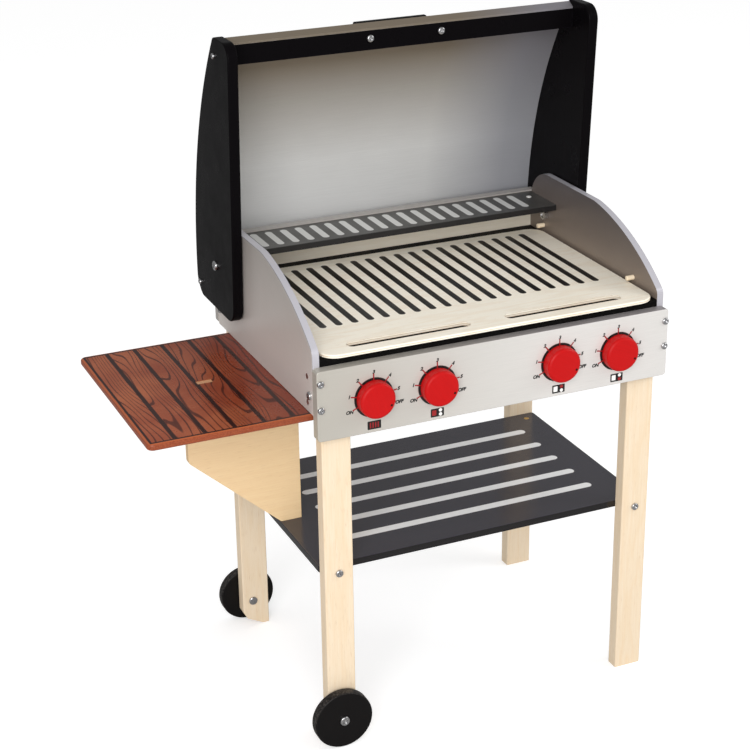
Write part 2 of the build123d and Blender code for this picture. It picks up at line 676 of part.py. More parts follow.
def axle_nuts():
    """Capped ends of the axles on the legs' inner faces."""
    group = []
    for face, way in wheel_sides().values():
        start = (AXLE_X, face - way * LEG_THICKNESS, AXLE_Z)
        direction = "Y" if way < 0 else "-Y"
        cap = rod(start, direction, 4.4, HEAD_HEIGHT)
        rims = cap.edges().filter_by(GeomType.CIRCLE).sort_by(lambda e: -distance(e.center(), start))
        group.append(fillet(rims[0], HEAD_HEIGHT * 0.6))
    return group


def all_nodes():
    nodes = {
        "front_panel": front_panel(),
        "left_side_panel": side_panel(-1),
        "right_side_panel": side_panel(1),
        "back_panel": back_panel(),
        "front_left_leg": leg(-1, FRONT_PANEL_THICKNESS),
        "front_right_leg": leg(1, FRONT_PANEL_THICKNESS),
        "rear_left_leg": leg(-1, REAR_LEG_FRONT),
        "rear_right_leg": leg(1, REAR_LEG_FRONT),
        "bottom_shelf": bottom_shelf(),
        "side_table": side_table(),
        "table_bracket": table_bracket(),
        "warming_rack": warming_rack(),
        "grill_bed": grill_bed(),
        "cooking_board": cooking_board(),
        "retaining_pegs": retaining_pegs(),
        "front_panel_screws": panel_screws(),
        "front_panel_barrel_nuts": panel_barrels(),
        "leg_bolts": leg_bolts(),
        "leg_barrel_nuts": leg_barrels(),
        "shelf_bolts": shelf_bolts(),
        "shelf_barrel_nuts": shelf_barrels(),
        "rack_bolts": rack_bolts(),
        "rack_barrel_nuts": rack_barrels(),
        "back_panel_screws": back_screws(),
        "table_dowels": table_dowels(),
        "lid_left_board": lid_board(-1),
        "lid_right_board": lid_board(1),
        "lid_sheet": lid_sheet(),
        "lid_front_bar": lid_front_bar(),
        "lid_rear_bar": lid_rear_bar(),
        "lid_bar_screws": lid_bar_screws(),
        "lid_handle_grip": handle_grip(),
        "lid_handle_posts": handle_posts(),
        "lid_handle_screws": handle_screws(),
        "lid_pivot_bolts": pivot_bolts(),
        "lid_pivot_nuts": pivot_nuts(),
        "lid_pivot_washers": pivot_washers(),
        "axle_bolts": axle_bolts(),
        "axle_washers": axle_washers(),
        "axle_nuts": axle_nuts(),
    }
    for number, x in enumerate(KNOB_PLACES, start=1):
        nodes[f"knob_{number}"] = knob(x)
        nodes[f"knob_{number}_bolt"] = knob_bolt(x)
    for end in wheel_sides():
        nodes[f"{end}_wheel"] = wheel(end)
    return nodes


def main():
    os.makedirs("parts", exist_ok=True)
    nodes = {name: Compound(children=shape) if isinstance(shape, list) else shape
             for name, shape in all_nodes().items()}
    boxes = [shape.bounding_box() for shape in nodes.values()]
    middle_x = (min(b.min.X for b in boxes) + max(b.max.X for b in boxes)) / 2
    middle_y = (min(b.min.Y for b in boxes) + max(b.max.Y for b in boxes)) / 2
    print("footprint middle", round(middle_x, 3), round(middle_y, 3))
    for name, shape in nodes.items():
        export_step(Pos(-middle_x, -middle_y, 0) * shape, f"parts/{name}.step")


main()
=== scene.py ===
import bmesh
import bpy
from math import cos, pi, radians, sin
from mathutils import Matrix, Vector


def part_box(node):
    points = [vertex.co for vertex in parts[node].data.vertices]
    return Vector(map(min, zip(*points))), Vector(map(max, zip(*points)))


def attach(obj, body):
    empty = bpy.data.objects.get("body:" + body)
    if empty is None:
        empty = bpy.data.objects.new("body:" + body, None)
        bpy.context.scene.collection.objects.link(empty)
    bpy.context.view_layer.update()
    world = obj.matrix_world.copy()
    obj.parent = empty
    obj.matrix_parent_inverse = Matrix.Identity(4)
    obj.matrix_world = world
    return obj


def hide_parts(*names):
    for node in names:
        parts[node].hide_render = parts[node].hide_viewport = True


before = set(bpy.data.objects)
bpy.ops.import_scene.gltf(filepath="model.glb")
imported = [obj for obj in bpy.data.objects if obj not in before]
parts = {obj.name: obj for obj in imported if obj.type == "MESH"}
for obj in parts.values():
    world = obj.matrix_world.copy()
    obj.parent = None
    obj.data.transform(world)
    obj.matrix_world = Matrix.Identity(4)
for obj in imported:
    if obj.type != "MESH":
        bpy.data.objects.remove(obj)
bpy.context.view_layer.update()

# The room: a white floor that keeps the grill's shadow, with an even white sky above it.
# The camera sees both as plain white; in gloss they show darker, so black paint stays black.
# A big soft lamp stands in front on the left, a weaker one on the right.


def ink(red, green, blue):
    """A colour as it is seen on a screen, 0 to 255, in the numbers that a shader takes."""
    linear = [((c / 255 + 0.055) / 1.055) ** 2.4 if c > 10 else c / 255 / 12.92 for c in (red, green, blue)]
    return (*linear, 1.0)


def add(tree, kind, inputs=None, **settings):
    """A node with its settings; an input takes a value or another node's socket."""
    node = tree.nodes.new(kind)
    for name, value in settings.items():
        setattr(node, name, value)
    for socket, value in (inputs or {}).items():
        if isinstance(value, bpy.types.NodeSocket):
            tree.links.new(value, node.inputs[socket])
        else:
            node.inputs[socket].default_value = value
    return node


def feed(node, name, value):
    """Link a socket to a node's input."""
    node.id_data.links.new(value, node.inputs[name])


FLOOR_SHADE, FLOOR_SHADE_IN_GLOSS = 0.80, 0.36
FLOOR_GLOW = 0.44
SKY_LIGHT = 0.80
SKY_IN_GLOSS = 0.45

floor_material = bpy.data.materials.new("white_floor")
floor_material.use_nodes = True
floor_tree = floor_material.node_tree
floor_tree.nodes.clear()
floor_path = add(floor_tree, "ShaderNodeLightPath")
floor_glow = add(floor_tree, "ShaderNodeMath", {0: floor_path.outputs["Is Camera Ray"], 1: FLOOR_GLOW},
                 operation="MULTIPLY")
floor_shade = add(floor_tree, "ShaderNodeMapRange", {
    "Value": floor_path.outputs["Is Glossy Ray"], "To Min": FLOOR_SHADE, "To Max": FLOOR_SHADE_IN_GLOSS})
floor_plain = add(floor_tree, "ShaderNodeBsdfDiffuse", {"Color": floor_shade.outputs[0]})
floor_light = add(floor_tree, "ShaderNodeEmission", {"Strength": floor_glow.outputs[0]})
floor_both = add(floor_tree, "ShaderNodeAddShader", {0: floor_plain.outputs[0], 1: floor_light.outputs[0]})
add(floor_tree, "ShaderNodeOutputMaterial", {"Surface": floor_both.outputs[0]})

bpy.ops.object.select_all(action="DESELECT")
bpy.ops.mesh.primitive_circle_add(vertices=64, radius=14.0, fill_type="NGON")
floor = bpy.context.object
floor.name = "floor"
floor.data.materials.append(floor_material)

world = bpy.data.worlds.new("white_room")
bpy.context.scene.world = world
world.use_nodes = True
sky_tree = world.node_tree
sky_tree.nodes.clear()
sky_path = add(sky_tree, "ShaderNodeLightPath")
sky_seen = add(sky_tree, "ShaderNodeMapRange", {
    "Value": sky_path.outputs["Is Camera Ray"], "To Min": SKY_LIGHT, "To Max": 1.0})
sky_gloss = add(sky_tree, "ShaderNodeMapRange", {
    "Value": sky_path.outputs["Is Glossy Ray"], "To Min": 1.0, "To Max": SKY_IN_GLOSS})
sky_strength = add(sky_tree, "ShaderNodeMath", {0: sky_seen.outputs[0], 1: sky_gloss.outputs[0]},
                   operation="MULTIPLY")
sky = add(sky_tree, "ShaderNodeBackground", {"Strength": sky_strength.outputs[0]})
add(sky_tree, "ShaderNodeOutputWorld", {"Surface": sky.outputs[0]})

LAMP_TARGET = Vector((0.0, 0.0, 0.3))


def soft_lamp(name, place, size, power):
    """A square soft lamp that looks at the middle of the grill."""
    bpy.ops.object.light_add(type="AREA", location=place)
    lamp = bpy.context.object
    lamp.name = name
    lamp.data.shape = "SQUARE"
    lamp.data.size = size
    lamp.data.energy = power
    lamp.rotation_euler = (LAMP_TARGET - Vector(place)).to_track_quat("-Z", "Y").to_euler()


soft_lamp("front_left_lamp", (-1.2, -2.2, 1.3), size=1.6, power=48.0)
soft_lamp("right_lamp", (2.2, -1.0, 1.5), size=1.2, power=16.0)

# The camera stands to the left of the grill and looks down on it by 23 degrees.
CAMERA_PLACE = Vector((-0.6127, -1.4170, 0.9536))
CAMERA_SIDE = radians(-23.55)
CAMERA_DOWN = radians(22.99)
CAMERA_ROLL = radians(-0.83)
CAMERA_LENS, CAMERA_SENSOR = 87.31, 36.0
camera_back = Vector((sin(CAMERA_SIDE) * cos(CAMERA_DOWN), -cos(CAMERA_SIDE) * cos(CAMERA_DOWN), sin(CAMERA_DOWN)))
level_right = (-camera_back).cross(Vector((0, 0, 1))).normalized()
level_up = level_right.cross(-camera_back)
camera_right = level_right * cos(CAMERA_ROLL) + level_up * sin(CAMERA_ROLL)
camera_up = level_up * cos(CAMERA_ROLL) - level_right * sin(CAMERA_ROLL)
camera = bpy.data.objects.new("camera", bpy.data.cameras.new("camera"))
bpy.context.scene.collection.objects.link(camera)
camera.data.lens = CAMERA_LENS
camera.data.sensor_width = CAMERA_SENSOR
camera.data.clip_end = 60.0
camera_turn = Matrix((camera_right, camera_up, camera_back)).transposed().to_4x4()
camera.matrix_world = Matrix.Translation(CAMERA_PLACE) @ camera_turn
bpy.context.scene.camera = camera
bpy.context.scene.view_settings.view_transform = "Standard"


# The four legs are planed birch, with the grain along them and end grain below.
# They are clear varnished, and the edges have gone a little darker where hands hold them.


def new_material(name, roughness=0.5):
    """A material with one shader: the tree, the shader and the place in millimetres."""
    material = bpy.data.materials.new(name)
    material.use_nodes = True
    tree = material.node_tree
    tree.nodes.clear()
    shader = add(tree, "ShaderNodeBsdfPrincipled", {"Roughness": roughness})
    add(tree, "ShaderNodeOutputMaterial", {"Surface": shader.outputs[0]})
    point = add(tree, "ShaderNodeTexCoord")
    place = add(tree, "ShaderNodeMapping", {"Vector": point.outputs["Object"], "Scale": (1000, 1000, 1000)})
    return material, tree, shader, place.outputs[0]


def calc(tree, operation, first, second=0.0):
    """The result of one sum on two numbers or sockets."""
    return add(tree, "ShaderNodeMath", {0: first, 1: second}, operation=operation).outputs[0]


def away(tree, value, middle):
    """How far a value is from a middle."""
    return calc(tree, "ABSOLUTE", calc(tree, "SUBTRACT", value, middle))


def reach(tree, first, second):
    """The length of two distances at right angles."""
    squares = calc(tree, "ADD", calc(tree, "MULTIPLY", first, first), calc(tree, "MULTIPLY", second, second))
    return calc(tree, "SQRT", squares)


def axes(tree, vector):
    """The outputs X, Y and Z of a point."""
    return add(tree, "ShaderNodeSeparateXYZ", {0: vector}).outputs


def facing(tree):
    """The outputs X, Y and Z of the way that the surface looks, in the part's frame."""
    return axes(tree, add(tree, "ShaderNodeTexCoord").outputs["Normal"])


def turned(tree, vector, rotation, shift=(0, 0, 0)):
    """A point that is turned, and then shifted."""
    return add(tree, "ShaderNodeMapping", {"Vector": vector, "Rotation": rotation, "Location": shift}).outputs[0]


def stretched(tree, vector, factors):
    """A point with each of its axes stretched."""
    return add(tree, "ShaderNodeVectorMath", {0: vector, 1: factors}, operation="MULTIPLY").outputs[0]


def noise(tree, vector, scale, detail=2.0, roughness=0.5):
    """Soft noise, about 0.5 on average."""
    return add(tree, "ShaderNodeTexNoise", {
        "Vector": vector, "Scale": scale, "Detail": detail, "Roughness": roughness}).outputs["Fac"]


def steps(tree, value, low, high, to_low=0.0, to_high=1.0):
    """A value turned from one range to another, and kept inside it."""
    return add(tree, "ShaderNodeMapRange", {
        "Value": value, "From Min": low, "From Max": high, "To Min": to_low, "To Max": to_high}).outputs[0]


def new_group(name, takes, gives):
    """A node group with its inputs, as name, kind and value, and its outputs."""
    group = bpy.data.node_groups.new(name, "ShaderNodeTree")
    for label, kind, value in takes:
        socket = group.interface.new_socket(label, in_out="INPUT", socket_type=kind)
        socket.default_value = value
    for label, kind in gives:
        group.interface.new_socket(label, in_out="OUTPUT", socket_type=kind)
    return group, group.nodes.new("NodeGroupInput"), group.nodes.new("NodeGroupOutput")


def use_group(tree, group, **inputs):
    """A group placed in a material; an input's name has _ for its spaces."""
    node = tree.nodes.new("ShaderNodeGroup")
    node.node_tree = group
    for name, value in inputs.items():
        socket = node.inputs[name.replace("_", " ")]
        if isinstance(value, bpy.types.NodeSocket):
            tree.links.new(value, socket)
        else:
            socket.default_value = value
    return node


def colour_mix(tree, mask, under, colour):
    """One colour over another through a mask."""
    node = tree.nodes.new("ShaderNodeMix")
    node.data_type = "RGBA"
    for socket, value in ((node.inputs[0], mask), (node.inputs[6], under), (node.inputs[7], colour)):
        if isinstance(value, bpy.types.NodeSocket):
            tree.links.new(value, socket)
        else:
            socket.default_value = value
    return node.outputs[2]


def over(tree, mask, share, under, colour):
    """One colour over another through a share of a mask."""
    return colour_mix(tree, calc(tree, "MULTIPLY", mask, share), under, colour)


def bump(tree, shader, height, distance):
    """Raise the shader's surface by a height, in metres."""
    feed(shader, "Normal", add(tree, "ShaderNodeBump", {"Height": height, "Distance": distance}).outputs[0])


def dress(material, *names):
    """Give CAD pieces a finish."""
    for name in names:
        piece = parts[name]
        if not piece.material_slots:
            piece.data.materials.append(material)
        for slot in piece.material_slots:
            slot.link = "OBJECT"
            slot.material = material


# Grain runs along Z of the point that the group is given.
RINGS_SPREAD = 420.0
RINGS_RAGGED = 1.6
grain, grain_in, grain_out = new_group(
    "wood_grain",
    [("Point", "NodeSocketVector", (0, 0, 0)), ("Ring width", "NodeSocketFloat", 9.0),
     ("Contrast", "NodeSocketFloat", 0.5)],
    [("Streaks", "NodeSocketFloat"), ("Rings", "NodeSocketFloat"), ("Pores", "NodeSocketFloat")])
grain_point = grain_in.outputs["Point"]
grain_contrast = grain_in.outputs["Contrast"]
grain_fine = noise(grain, stretched(grain, grain_point, (1.0, 1.0, 0.035)), 0.9, 5.0, 0.62)
grain_flow = noise(grain, stretched(grain, grain_point, (1.0, 1.0, 0.12)), 0.045)
grain_turn = calc(grain, "MULTIPLY", grain_flow, calc(grain, "DIVIDE", RINGS_SPREAD, grain_in.outputs["Ring width"]))
grain_wave = calc(grain, "SINE", calc(grain, "ADD", grain_turn, calc(grain, "MULTIPLY", grain_fine, RINGS_RAGGED)))
grain_dots = noise(grain, stretched(grain, grain_point, (2.4, 2.4, 0.10)), 1.0, 1.0)
feed(grain_out, "Streaks", calc(grain, "MULTIPLY", steps(grain, grain_fine, 0.3, 0.72), grain_contrast))
feed(grain_out, "Rings", calc(grain, "MULTIPLY", steps(grain, grain_wave, 0.1, 1.0), grain_contrast))
feed(grain_out, "Pores", steps(grain, grain_dots, 0.66, 0.74))

# Wear follows the edges: one where the surface turns sharply, broken up by noise.
wear, wear_in, wear_out = new_group(
    "edge_wear",
    [("Point", "NodeSocketVector", (0, 0, 0)), ("Width", "NodeSocketFloat", 0.0008),
     ("Amount", "NodeSocketFloat", 0.5)],
    [("Edge", "NodeSocketFloat"), ("Smudges", "NodeSocketFloat")])
wear_round = add(wear, "ShaderNodeBevel", {"Radius": wear_in.outputs["Width"]}, samples=6)
wear_flat = add(wear, "ShaderNodeNewGeometry")
wear_dot = add(wear, "ShaderNodeVectorMath", {0: wear_round.outputs[0], 1: wear_flat.outputs["Normal"]},
               operation="DOT_PRODUCT")
wear_edge = steps(wear, wear_dot.outputs["Value"], 0.995, 0.80)
wear_broken = steps(wear, noise(wear, wear_in.outputs["Point"], 0.14, 6.0, 0.7), 0.42, 0.62)
wear_worn = calc(wear, "MULTIPLY", calc(wear, "MULTIPLY", wear_edge, wear_broken), wear_in.outputs["Amount"])
feed(wear_out, "Edge", wear_worn)
feed(wear_out, "Smudges", steps(wear, noise(wear, wear_in.outputs["Point"], 0.03, 4.0, 0.6), 0.35, 0.7))

# A quarter turn brings the grain from Z to X, or to Y.
UPRIGHT = (0, 0, 0)
ALONG_X = (0, radians(90), 0)
ALONG_Y = (radians(90), 0, 0)
BIRCH = (234, 216, 191)
BIRCH_STREAK = (223, 195, 153)


def birch(name, turn, pale=BIRCH, warm=BIRCH_STREAK, contrast=0.45, roughness=0.42, shift=(0, 0, 0)):
    """Varnished birch whose grain lies along Z once the point is turned."""
    material, tree, shader, place = new_material(name, roughness)
    wood = use_group(tree, grain, Point=turned(tree, place, turn, shift), Ring_width=10.0, Contrast=contrast)
    worn = use_group(tree, wear, Point=place, Width=0.0009, Amount=0.55)
    colour = colour_mix(tree, wood.outputs["Streaks"], ink(*pale), ink(*warm))
    colour = over(tree, wood.outputs["Rings"], 0.30, colour, ink(226, 190, 140))
    colour = over(tree, wood.outputs["Pores"], 0.25, colour, ink(176, 130, 84))
    colour = colour_mix(tree, worn.outputs["Edge"], colour, ink(198, 152, 98))
    feed(shader, "Base Color", colour)
    smudged = steps(tree, worn.outputs["Smudges"], 0, 1, roughness - 0.05, roughness + 0.09)
    feed(shader, "Roughness", calc(tree, "ADD", smudged, calc(tree, "MULTIPLY", wood.outputs["Pores"], 0.12)))
    shader.inputs["Specular IOR Level"].default_value = 0.4
    bump(tree, shader, calc(tree, "SUBTRACT", wood.outputs["Streaks"], wood.outputs["Pores"]), 0.00004)
    return material, tree, shader, place, colour


for number, leg in enumerate(("front_left_leg", "front_right_leg", "rear_left_leg", "rear_right_leg")):
    leg_material, leg_tree, leg_shader, leg_place, leg_colour = birch(
        f"birch_{leg}", UPRIGHT, shift=(37.0 * number, 11.0 * number, 60.0 * number))
    leg_end = steps(leg_tree, calc(leg_tree, "ABSOLUTE", facing(leg_tree)["Z"]), 0.6, 0.9)
    leg_rings = add(leg_tree, "ShaderNodeTexWave", {
        "Vector": leg_place, "Scale": 0.35, "Distortion": 3.0, "Detail": 2.0}, bands_direction="DIAGONAL")
    leg_cut = colour_mix(leg_tree, leg_rings.outputs["Fac"], ink(214, 178, 128), ink(184, 140, 92))
    feed(leg_shader, "Base Color", colour_mix(leg_tree, leg_end, leg_colour, leg_cut))
    dress(leg_material, leg)


# The shelf is thin board, painted dark grey and glossy, with five pale bars printed across it.
# Its edges are painted black, a little thin at the corners.

bars, bars_in, bars_out = new_group(
    "printed_bars",
    [("Across", "NodeSocketFloat", 0.0), ("Along", "NodeSocketFloat", 0.0), ("First", "NodeSocketFloat", 0.0),
     ("Pitch", "NodeSocketFloat", 15.0), ("Count", "NodeSocketFloat", 5.0), ("Half length", "NodeSocketFloat", 50.0),
     ("Half width", "NodeSocketFloat", 3.0)],
    [("Mask", "NodeSocketFloat")])
BARS_SOFT = 0.12
bars_from = calc(bars, "SUBTRACT", bars_in.outputs["Across"], bars_in.outputs["First"])
bars_number = calc(bars, "ROUND", calc(bars, "DIVIDE", bars_from, bars_in.outputs["Pitch"]))
bars_last = calc(bars, "SUBTRACT", bars_in.outputs["Count"], 1.0)
bars_number = calc(bars, "MINIMUM", calc(bars, "MAXIMUM", bars_number, 0.0), bars_last)
bars_aside = calc(bars, "SUBTRACT", bars_from, calc(bars, "MULTIPLY", bars_number, bars_in.outputs["Pitch"]))
bars_straight = calc(bars, "SUBTRACT", bars_in.outputs["Half length"], bars_in.outputs["Half width"])
bars_past = calc(bars, "SUBTRACT", calc(bars, "ABSOLUTE", bars_in.outputs["Along"]), bars_straight)
bars_beyond = calc(bars, "MAXIMUM", bars_past, 0.0)
bars_inside = calc(bars, "SUBTRACT", bars_in.outputs["Half width"], reach(bars, bars_aside, bars_beyond))
feed(bars_out, "Mask", steps(bars, bars_inside, -BARS_SOFT, BARS_SOFT))


def painted(name, colour, roughness, edge_colour, turn=UPRIGHT, amount=0.5, flow=0.10):
    """Paint over board: faint grain under it, soft smudges and worn edges."""
    material, tree, shader, place = new_material(name, roughness)
    wood = use_group(tree, grain, Point=turned(tree, place, turn), Ring_width=14.0, Contrast=1.0)
    worn = use_group(tree, wear, Point=place, Width=0.0007, Amount=amount)
    base = over(tree, wood.outputs["Streaks"], flow, colour, (*[c * 0.72 for c in colour[:3]], 1.0))
    base = colour_mix(tree, worn.outputs["Edge"], base, edge_colour)
    feed(shader, "Base Color", base)
    feed(shader, "Roughness", steps(tree, worn.outputs["Smudges"], 0, 1, roughness - 0.04, roughness + 0.08))
    bump(tree, shader, wood.outputs["Streaks"], 0.00003)
    return material, tree, shader, place, base


SHELF_BAR_MIDDLE = 69.8
SHELF_BARS = {"First": -68.9, "Pitch": 33.3, "Count": 5.0, "Half_length": 128.5, "Half_width": 4.6}
shelf_material, shelf_tree, shelf_shader, shelf_place, shelf_base = painted(
    "dark_grey_gloss", ink(64, 62, 69), 0.13, ink(128, 122, 124), turn=ALONG_X, flow=0.06)
shelf_axes = axes(shelf_tree, shelf_place)
shelf_along = calc(shelf_tree, "SUBTRACT", shelf_axes["X"], SHELF_BAR_MIDDLE)
shelf_bars = use_group(shelf_tree, bars, Across=shelf_axes["Y"], Along=shelf_along, **SHELF_BARS)
shelf_up = facing(shelf_tree)["Z"]
shelf_print = calc(shelf_tree, "MULTIPLY", shelf_bars.outputs["Mask"], steps(shelf_tree, shelf_up, 0.8, 0.95))
shelf_top = colour_mix(shelf_tree, shelf_print, shelf_base, ink(255, 255, 255))
shelf_side = steps(shelf_tree, calc(shelf_tree, "ABSOLUTE", shelf_up), 0.75, 0.45)
feed(shelf_shader, "Base Color", colour_mix(shelf_tree, shelf_side, shelf_top, ink(26, 24, 25)))
dress(shelf_material, "bottom_shelf")


# The side table is one board, stained red and printed as six planks along its depth.
# Dark lines part the planks, thin lines draw their grain, and a clear varnish lies over all.

TABLE_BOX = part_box("side_table")
PLANK_WIDTH = 26.1
PLANK_LINE = -223.5
PLANK_SHIFT = 71.0
PLANK_STRETCH = 0.17
PLANK_LOOPS = 8.0
PLANK_DRIFT = 0.2
BORDER_LINE = 3.6
table_material, table_tree, table_shader, table_place = new_material("red_planks", 0.3)
table_axes = axes(table_tree, table_place)
table_from = calc(table_tree, "DIVIDE", calc(table_tree, "SUBTRACT", table_axes["X"], PLANK_LINE), PLANK_WIDTH)
plank_number = calc(table_tree, "FLOOR", table_from)
plank_line = away(table_tree, table_from, calc(table_tree, "ROUND", table_from))
plank_gap = steps(table_tree, calc(table_tree, "MULTIPLY", plank_line, PLANK_WIDTH), 2.15, 1.85)
plank_shift = calc(table_tree, "MULTIPLY", plank_number, PLANK_SHIFT)
plank_point = add(table_tree, "ShaderNodeCombineXYZ", {
    "X": table_axes["X"],
    "Y": calc(table_tree, "ADD", calc(table_tree, "MULTIPLY", table_axes["Y"], PLANK_STRETCH), plank_shift),
    "Z": plank_shift})
plank_flow = noise(table_tree, plank_point.outputs[0], 0.048, 0.5, 0.4)
plank_turns = calc(table_tree, "ADD", calc(table_tree, "MULTIPLY", plank_flow, PLANK_LOOPS),
                   calc(table_tree, "MULTIPLY", table_axes["X"], PLANK_DRIFT))
plank_grain = steps(table_tree, away(table_tree, plank_turns, calc(table_tree, "ROUND", plank_turns)), 0.12, 0.07)
table_stain = steps(table_tree, noise(table_tree, table_place, 0.02, 3.0), 0.35, 0.65)
table_turned = turned(table_tree, table_place, ALONG_Y)
table_wood = use_group(table_tree, grain, Point=table_turned, Ring_width=12.0, Contrast=1.0)
table_base = colour_mix(table_tree, table_stain, ink(176, 98, 62), ink(148, 70, 42))
# Towards the side panel the top is painted a deep dark red: painted shadow and reflection of the panel.
table_panel_shadow_and_reflection = steps(table_tree, table_axes["X"], -200.0, -95.0)
table_base = colour_mix(table_tree, table_panel_shadow_and_reflection, table_base, ink(112, 30, 13))
table_base = over(table_tree, table_wood.outputs["Streaks"], 0.25, table_base, ink(176, 92, 60))
table_base = over(table_tree, plank_grain, 0.8, table_base, ink(60, 18, 10))
edge_x = calc(table_tree, "SUBTRACT", table_axes["X"], TABLE_BOX[0].x * 1000)
edge_front = calc(table_tree, "SUBTRACT", table_axes["Y"], TABLE_BOX[0].y * 1000)
edge_rear = calc(table_tree, "SUBTRACT", TABLE_BOX[1].y * 1000, table_axes["Y"])
edge_near = calc(table_tree, "MINIMUM", edge_x, calc(table_tree, "MINIMUM", edge_front, edge_rear))
table_border = steps(table_tree, away(table_tree, edge_near, BORDER_LINE), 1.2, 0.9)
table_inside = steps(table_tree, edge_near, 4.4, 4.7)
table_lines = calc(table_tree, "MAXIMUM", calc(table_tree, "MULTIPLY", plank_gap, table_inside), table_border)
table_print = colour_mix(table_tree, table_lines, table_base, ink(52, 22, 16))
table_print = colour_mix(table_tree, steps(table_tree, edge_near, 2.4, 2.1), table_print, ink(178, 92, 52))
table_up = facing(table_tree)["Z"]
table_side = colour_mix(table_tree, table_wood.outputs["Streaks"], ink(160, 82, 50), ink(122, 54, 30))
table_worn = use_group(table_tree, wear, Point=table_place, Width=0.0009, Amount=0.5)
table_colour = colour_mix(table_tree, steps(table_tree, table_up, 0.9, 0.7), table_print, table_side)
table_colour = colour_mix(table_tree, table_worn.outputs["Edge"], table_colour, ink(206, 128, 82))
feed(table_shader, "Base Color", table_colour)
feed(table_shader, "Roughness", steps(table_tree, table_worn.outputs["Smudges"], 0, 1, 0.24, 0.36))
bump(table_tree, table_shader, calc(table_tree, "SUBTRACT", table_wood.outputs["Streaks"], table_lines), 0.00003)
table_shader.inputs["Specular IOR Level"].default_value = 0.35
dress(table_material, "side_table")


# The bracket under the table is birch plywood, cut with a slanting nose and standing on end.
# Its edges show the plies, and its tenon comes up through the table.

BRACKET_PLY = 2.4
bracket_material, bracket_tree, bracket_shader, bracket_place, bracket_colour = birch(
    "birch_ply_bracket", ALONG_X, pale=(238, 209, 165), warm=(226, 188, 140), contrast=0.4)
bracket_facing = facing(bracket_tree)
bracket_layer = calc(bracket_tree, "MULTIPLY", axes(bracket_tree, bracket_place)["Y"], 2 * pi / BRACKET_PLY)
bracket_plies = steps(bracket_tree, calc(bracket_tree, "SINE", bracket_layer), 0.2, 0.8)
bracket_edge = steps(bracket_tree, calc(bracket_tree, "ABSOLUTE", bracket_facing["Y"]), 0.7, 0.4)
bracket_ply = calc(bracket_tree, "MULTIPLY", bracket_plies, bracket_edge)
bracket_edged = over(bracket_tree, bracket_ply, 0.6, bracket_colour, ink(176, 128, 80))
bracket_up = steps(bracket_tree, bracket_facing["Z"], 0.8, 0.95)
feed(bracket_shader, "Base Color", colour_mix(bracket_tree, bracket_up, bracket_edged, ink(204, 152, 112)))
dress(bracket_material, "table_bracket")


# The side panels are board with a bowed front edge, painted silver grey outside; lower down, painted light makes them
# lighter.
# Inside, painted shade darkens them towards the top. The bowed edge is lilac grey, with a painted highlight on its
# inner ridge and painted shade on its outer arris.

BODY_MIDDLE = 65.0
side_material, side_tree, side_shader, side_place, side_base = painted(
    "silver_grey_paint", ink(172, 166, 160), 0.34, ink(205, 198, 204), turn=ALONG_Y, amount=0.35)
side_axes = axes(side_tree, side_place)
side_sign = calc(side_tree, "SIGN", calc(side_tree, "SUBTRACT", side_axes["X"], BODY_MIDDLE))
side_out = calc(side_tree, "MULTIPLY", facing(side_tree)["X"], side_sign)
side_edge = steps(side_tree, calc(side_tree, "ABSOLUTE", side_out), 0.85, 0.55)
side_inner = steps(side_tree, side_out, -0.5, -0.9)
# Painted light: the panels are painted lighter lower down.
side_low_painted_light = steps(side_tree, side_axes["Z"], 440.0, 350.0, 0.0, 0.9)
side_colour = colour_mix(side_tree, side_low_painted_light, side_base, ink(220, 212, 206))
# Painted shade: the inner faces darken towards the top.
side_high = steps(side_tree, side_axes["Z"], 365.0, 440.0)
side_inner_painted_shade = colour_mix(side_tree, side_high, ink(146, 131, 118), ink(88, 82, 83))
side_colour = colour_mix(side_tree, side_inner, side_colour, side_inner_painted_shade)
side_colour = colour_mix(side_tree, side_edge, side_colour, ink(206, 204, 211))
# Painted highlight: a near white line along the inner ridge of the bowed edge.
side_ridge_painted_highlight = steps(side_tree, away(side_tree, side_out, -0.4), 0.35, 0.15)
side_colour = colour_mix(side_tree, side_ridge_painted_highlight, side_colour, ink(250, 249, 252))
# Painted shade: a darker line along the outer arris of the bowed edge.
side_arris_painted_shade = steps(side_tree, away(side_tree, side_out, 0.55), 0.30, 0.15)
side_colour = colour_mix(side_tree, side_arris_painted_shade, side_colour, ink(132, 128, 130))
feed(side_shader, "Base Color", side_colour)
feed(side_shader, "Metallic", steps(side_tree, side_edge, 0, 1, 0.25, 0.35))
dress(side_material, "left_side_panel", "right_side_panel")


# The back panel is plain birch board on its inner face, and painted silver grey behind.
# The paint comes over its upper edge, down to the rack.

RACK_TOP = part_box("warming_rack")[1].z * 1000
back_material, back_tree, back_shader, back_place, back_base = painted(
    "back_panel_paint", ink(168, 163, 158), 0.36, ink(205, 198, 204), turn=ALONG_X, amount=0.35)
back_wood = use_group(back_tree, grain, Point=turned(back_tree, back_place, ALONG_X), Ring_width=12.0, Contrast=0.5)
back_birch = colour_mix(back_tree, back_wood.outputs["Streaks"], ink(246, 238, 222), ink(236, 218, 188))
back_inner = steps(back_tree, facing(back_tree)["Y"], -0.5, -0.9)
back_low = steps(back_tree, axes(back_tree, back_place)["Z"], RACK_TOP, RACK_TOP - 1.0)
back_bare = calc(back_tree, "MULTIPLY", back_inner, back_low)
feed(back_shader, "Base Color", colour_mix(back_tree, back_bare, back_base, back_birch))
dress(back_material, "back_panel")


# The front panel carries the four knobs. It is board with a fine brushed silver print.
# Painted shade makes it a little darker to the left; its edges are plain grey, and it carries no sign or name.

